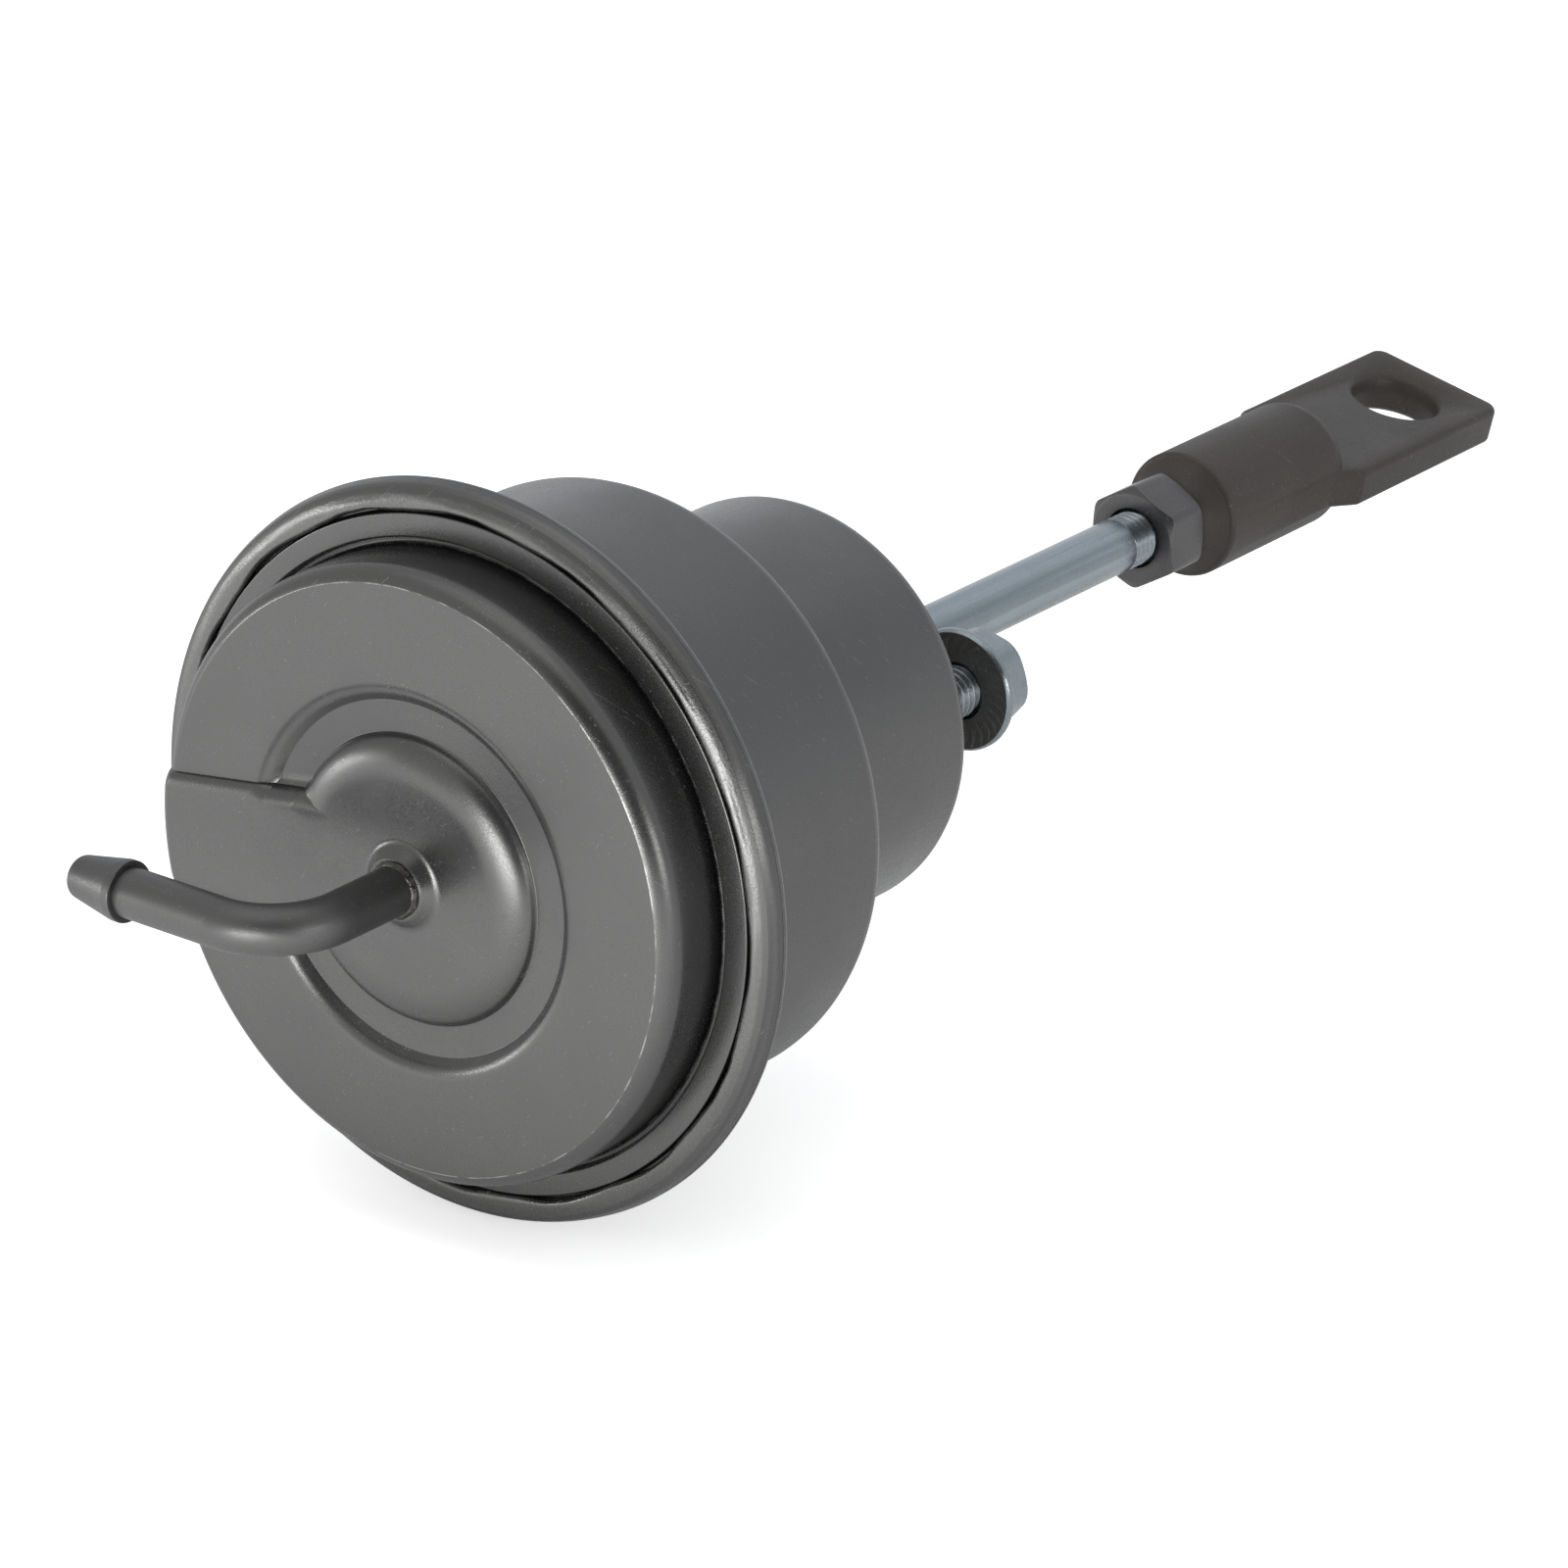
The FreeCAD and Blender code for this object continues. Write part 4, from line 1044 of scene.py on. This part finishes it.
def make_push_rod():
    axis = 0.001
    root = ROD_RADIUS - 0.52
    x0 = ROD_THREAD_START_X
    make_threaded_bar("push_rod_bar", [
        (-65.0, axis, 0), (-65.0, 3.4, 0.5), (-63.9, 4.4, 0.3), (-63.5, 4.4, 0),
        (-63.5, 2.5, 0), (-59.0, 2.5, 0), (-59.0, ROD_RADIUS, 0.1), (x0, ROD_RADIUS, 0.12),
        (x0 + 0.5, root - 0.02, 0.1), (ROD_END_X - 0.5, root - 0.02, 0.1), (ROD_END_X - 0.1, root - 0.4, 0.1),
        (ROD_END_X - 0.1, axis, 0),
    ], {
        "Crest radius": ROD_RADIUS * MM, "Root radius": root * MM, "Pitch": ROD_THREAD_PITCH * MM,
        "Start": (x0 + 0.15) * MM, "Length": (ROD_END_X - x0 - 0.3) * MM,
    }, "rod", ROD_PLATE, "zinc_steel", (0.0, 0.0), "push_rod")


def stud_places():
    turn = math.radians(STUD_TURN_DEG)
    reach = STUD_CIRCLE_RADIUS
    return {
        "far": (reach * math.cos(turn), reach * math.sin(turn)),
        "near": (-reach * math.cos(turn), -reach * math.sin(turn)),
    }


def make_stud(side, place):
    axis = 0.001
    root = STUD_RADIUS - 0.6
    tip = NUT_SEAT_X + NUT_HEIGHT + 2.0
    make_threaded_bar("stud_bar_" + side, [
        (-3.3, axis, 0), (-3.3, 4.6, 0.2), (-1.9, 4.6, 0.1), (-1.9, 3.3, 0), (0.0, 3.3, 0),
        (0.0, STUD_RADIUS, 0), (4.8, STUD_RADIUS, 0.1), (5.2, root - 0.02, 0.1),
        (tip - 0.1, root - 0.02, 0.2), (tip - 0.1, axis, 0),
    ], {
        "Crest radius": STUD_THREAD_RADIUS * MM, "Root radius": root * MM, "Pitch": STUD_THREAD_PITCH * MM,
        "Start": 4.95 * MM, "Length": (tip - 5.0) * MM, "Columns": 49,
    }, "canister", ZINC_PLATE, "zinc_steel", place, "stud_" + side)


def nut_outline(angle, flats, x0, x1, turn_deg, bore, flange, corner_round):
    """Section of a hexagon nut in one direction: chamfered crests, and a flange if it has one."""
    side = polygon_radius(angle - math.radians(turn_deg), flats / 2, 6, corner_round)
    crest = flats / 2 * 0.955
    slope = math.tan(math.radians(30))
    top = x1 - (side - crest) * slope
    corners = [(x0 + 0.35, bore, 0.08), (x0, bore + 0.45, 0.08)]
    if flange:
        rise = x0 + 1.25 + (flange - side) * math.tan(math.radians(22))
        corners += [(x0, flange - 0.3, 0.16), (x0 + 0.4, flange, 0.26), (x0 + 1.0, flange, 0.25),
                    (rise, side, 0.3)]
    else:
        corners += [(x0, crest, 0.1), (x0 + (side - crest) * slope, side, 0.12)]
    corners += [(top, side, 0.12), (x1, crest, 0.12), (x1, bore + 0.45, 0.08), (x1 - 0.35, bore, 0.08)]
    return rounded_outline(corners, arc_points=3)


def make_nuts():
    for side, place in stud_places().items():
        body = turned_mesh("flange_nut_body_" + side, lambda a: nut_outline(
            a, NUT_FLATS, NUT_SEAT_X, NUT_SEAT_X + NUT_HEIGHT, NUT_TURN_DEG, NUT_BORE,
            NUT_FLANGE_RADIUS, NUT_CORNER_ROUND), NUT_STEPS, centre=place)
        tidy_mesh(body)
        piece(body, "canister", ZINC_PLATE, "zinc_steel", "flange_nut_" + side)
        body.materials.append(NUT_SEAT)
        for face in body.polygons:
            if face.center.x < (NUT_SEAT_X + 0.04) * MM:
                face.material_index = 1
        teeth = grown("nut_serrations_" + side, NUT_SERRATIONS, {
            "Seat": NUT_SEAT_X * MM, "Inner radius": 4.1 * MM, "Outer radius": 6.6 * MM,
            "Height": 0.07 * MM, "Width": 0.5 * MM, "Count": 30, "Material": NUT_SEAT})
        shift_mesh(teeth, place)
        tidy_mesh(teeth, crease_deg=60.0)
        piece(teeth, "canister", None, "zinc_steel")
    lock = turned_mesh("lock_nut_body", lambda a: nut_outline(
        a, LOCK_NUT_FLATS, LOCK_NUT_X, LOCK_NUT_X + LOCK_NUT_HEIGHT, LOCK_NUT_TURN_DEG,
        ROD_RADIUS - 0.02, None, LOCK_NUT_CORNER_ROUND), NUT_STEPS)
    piece(tidy_mesh(lock), "rod", DARK_NUT_PLATE, "dark_steel", "lock_nut")


def make_rod_end():
    """The rod end's own mesh, with the inside edge of its mouth drawn out into a cone up to the lock nut."""
    mesh = frame["nodes"]["rod_end"].data.copy()
    mesh.name = "rod_end_with_cone"
    for vertex in mesh.vertices:
        radius = math.hypot(vertex.co.y, vertex.co.z) / MM
        if vertex.co.x < (ROD_END_MOUTH_X + 0.3) * MM and radius < ROD_END_MOUTH_LIMIT:
            vertex.co.x -= ROD_END_CONE_LENGTH * MM
            vertex.co.y *= ROD_END_CONE_TIP / ROD_END_MOUTH_RADIUS
            vertex.co.z *= ROD_END_CONE_TIP / ROD_END_MOUTH_RADIUS
    tidy_mesh(mesh, crease_deg=28.0)
    piece(mesh, "rod", DARK_PHOSPHATE, "dark_steel", "rod_end")


def make_spring():
    low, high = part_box("main_spring")
    wire = 1.3 * MM
    mesh = grown("coil_spring_wire", COIL_SPRING, {
        "Start": low.x + wire, "Length": high.x - low.x - 2 * wire, "Material": SPRING_STEEL})
    tidy_mesh(mesh, crease_deg=60.0)
    coil = piece(mesh, "canister", None, "spring_steel", "main_spring")
    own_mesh(coil)


make_casing()
make_front_cap()
make_braze_bead()
make_push_rod()
for stud_side, stud_place in stud_places().items():
    make_stud(stud_side, stud_place)
make_nuts()
make_rod_end()
make_spring()


# Floor, light and camera

def ray_kinds(tree):
    """The Light Path's outputs, and whether a ray comes by way of a mirror or glass."""
    path = put(tree, "ShaderNodeLightPath").outputs
    return path, calc(tree, "MAXIMUM", path["Is Glossy Ray"], path["Is Transmission Ray"])


def make_floor():
    size = 4.0
    level = cad_low.z - 0.0002
    mesh = bpy.data.meshes.new("floor")
    mesh.from_pydata([(-size, -size, level), (size, -size, level), (size, size, level), (-size, size, level)],
                     [], [(0, 1, 2, 3)])
    floor = new_object("floor", mesh)
    material, tree, shader = new_material("white_floor")
    shader.inputs["Base Color"].default_value = rgb(0.86, 0.86, 0.86)
    shader.inputs["Roughness"].default_value = 0.9
    shader.inputs["Specular IOR Level"].default_value = 0.0
    shader.inputs["Emission Color"].default_value = rgb(1.0, 1.0, 1.0)
    path, mirrored = ray_kinds(tree)
    # Camera rays see the floor as an even white backdrop. Mirrored rays see a glowing strip of floor in front of
    # the object, a painted light that brightens reflections.
    front_reflection_glow = scaled(tree, split(tree, object_place(tree))["X"], -0.04, -0.12, 0.0, 0.48)
    feed(tree, shader.inputs["Emission Strength"], calc(
        tree, "MAXIMUM", times(tree, path["Is Camera Ray"], 0.55), times(tree, mirrored, front_reflection_glow)))
    mesh.materials.append(material)


def make_world():
    world = bpy.data.worlds.new("studio")
    bpy.context.scene.world = world
    world.use_nodes = True
    tree = world.node_tree
    background = tree.nodes["Background"]
    way = put(tree, "ShaderNodeTexCoord").outputs["Generated"]
    along = split(tree, way)["X"]
    towards_camera = vector_calc(tree, "DOT_PRODUCT", way, (-0.744, -0.558, 0.368))
    dark = scaled(tree, towards_camera, 0.74, 0.90, 1.0, 0.15)
    behind = scaled(tree, along, 0.25, 0.65)
    rear_right = vector_calc(tree, "DOT_PRODUCT", way, (0.744, -0.475, 0.470))
    shade = scaled(tree, rear_right, 0.90, 1.0, 1.0, 0.82)
    room = times(tree, times(
        tree, scaled(tree, behind, 0.0, 1.0, 0.58, 0.79), dark), shade)
    feed(tree, background.inputs["Color"], mixed(tree, behind, rgb(1.0, 1.0, 1.0), rgb(0.92, 0.95, 1.0)))
    path, mirrored = ray_kinds(tree)
    level = scaled(tree, mirrored, 0.0, 1.0, 0.86, room, smooth=False)
    feed(tree, background.inputs["Strength"], calc(tree, "MAXIMUM", level, times(
        tree, path["Is Camera Ray"], 1.0)))


def add_softbox(name, place, target, width, height, watts):
    lamp = bpy.data.lights.new(name, "AREA")
    lamp.shape = "RECTANGLE"
    lamp.size = width
    lamp.size_y = height
    lamp.energy = watts
    box = new_object(name, lamp)
    box.location = place
    box.rotation_euler = (Vector(target) - Vector(place)).to_track_quat("-Z", "Y").to_euler()
    return box


def make_camera():
    lens = bpy.data.cameras.new("photo_view")
    lens.sensor_width = 36.0
    lens.lens = 161.32
    lens.clip_start = 0.01
    lens.clip_end = 20.0
    camera = new_object("photo_view", lens)
    camera.location = (-0.570567, -0.425511, 0.271742)
    aim = Vector((-0.03489, -0.02407, 0.00660)) - camera.location
    camera.rotation_euler = aim.to_track_quat("-Z", "Y").to_euler()
    bpy.context.scene.camera = camera


make_floor()
make_world()
low_box = add_softbox("low_box", (-0.262, -0.035, -0.018), (-0.06, 0, 0), 0.13, 0.040, 0.10)
low_box.visible_camera = False
add_softbox("front_box", (-0.96, -0.08, 0.04), (-0.06, 0, 0), 0.30, 0.14, 1.26)
add_softbox("right_box", (-0.22, -0.92, 0.14), (-0.03, 0, 0), 0.30, 0.26, 0.95)
add_softbox("left_box", (-0.52, 0.78, 0.02), (-0.05, 0, 0), 0.30, 0.10, 0.98)
add_softbox("top_box", (-0.1, 0.1, 1.0), (-0.02, 0, 0), 0.9, 0.9, 1.0)
make_camera()
bpy.context.scene.view_settings.view_transform = "Standard"
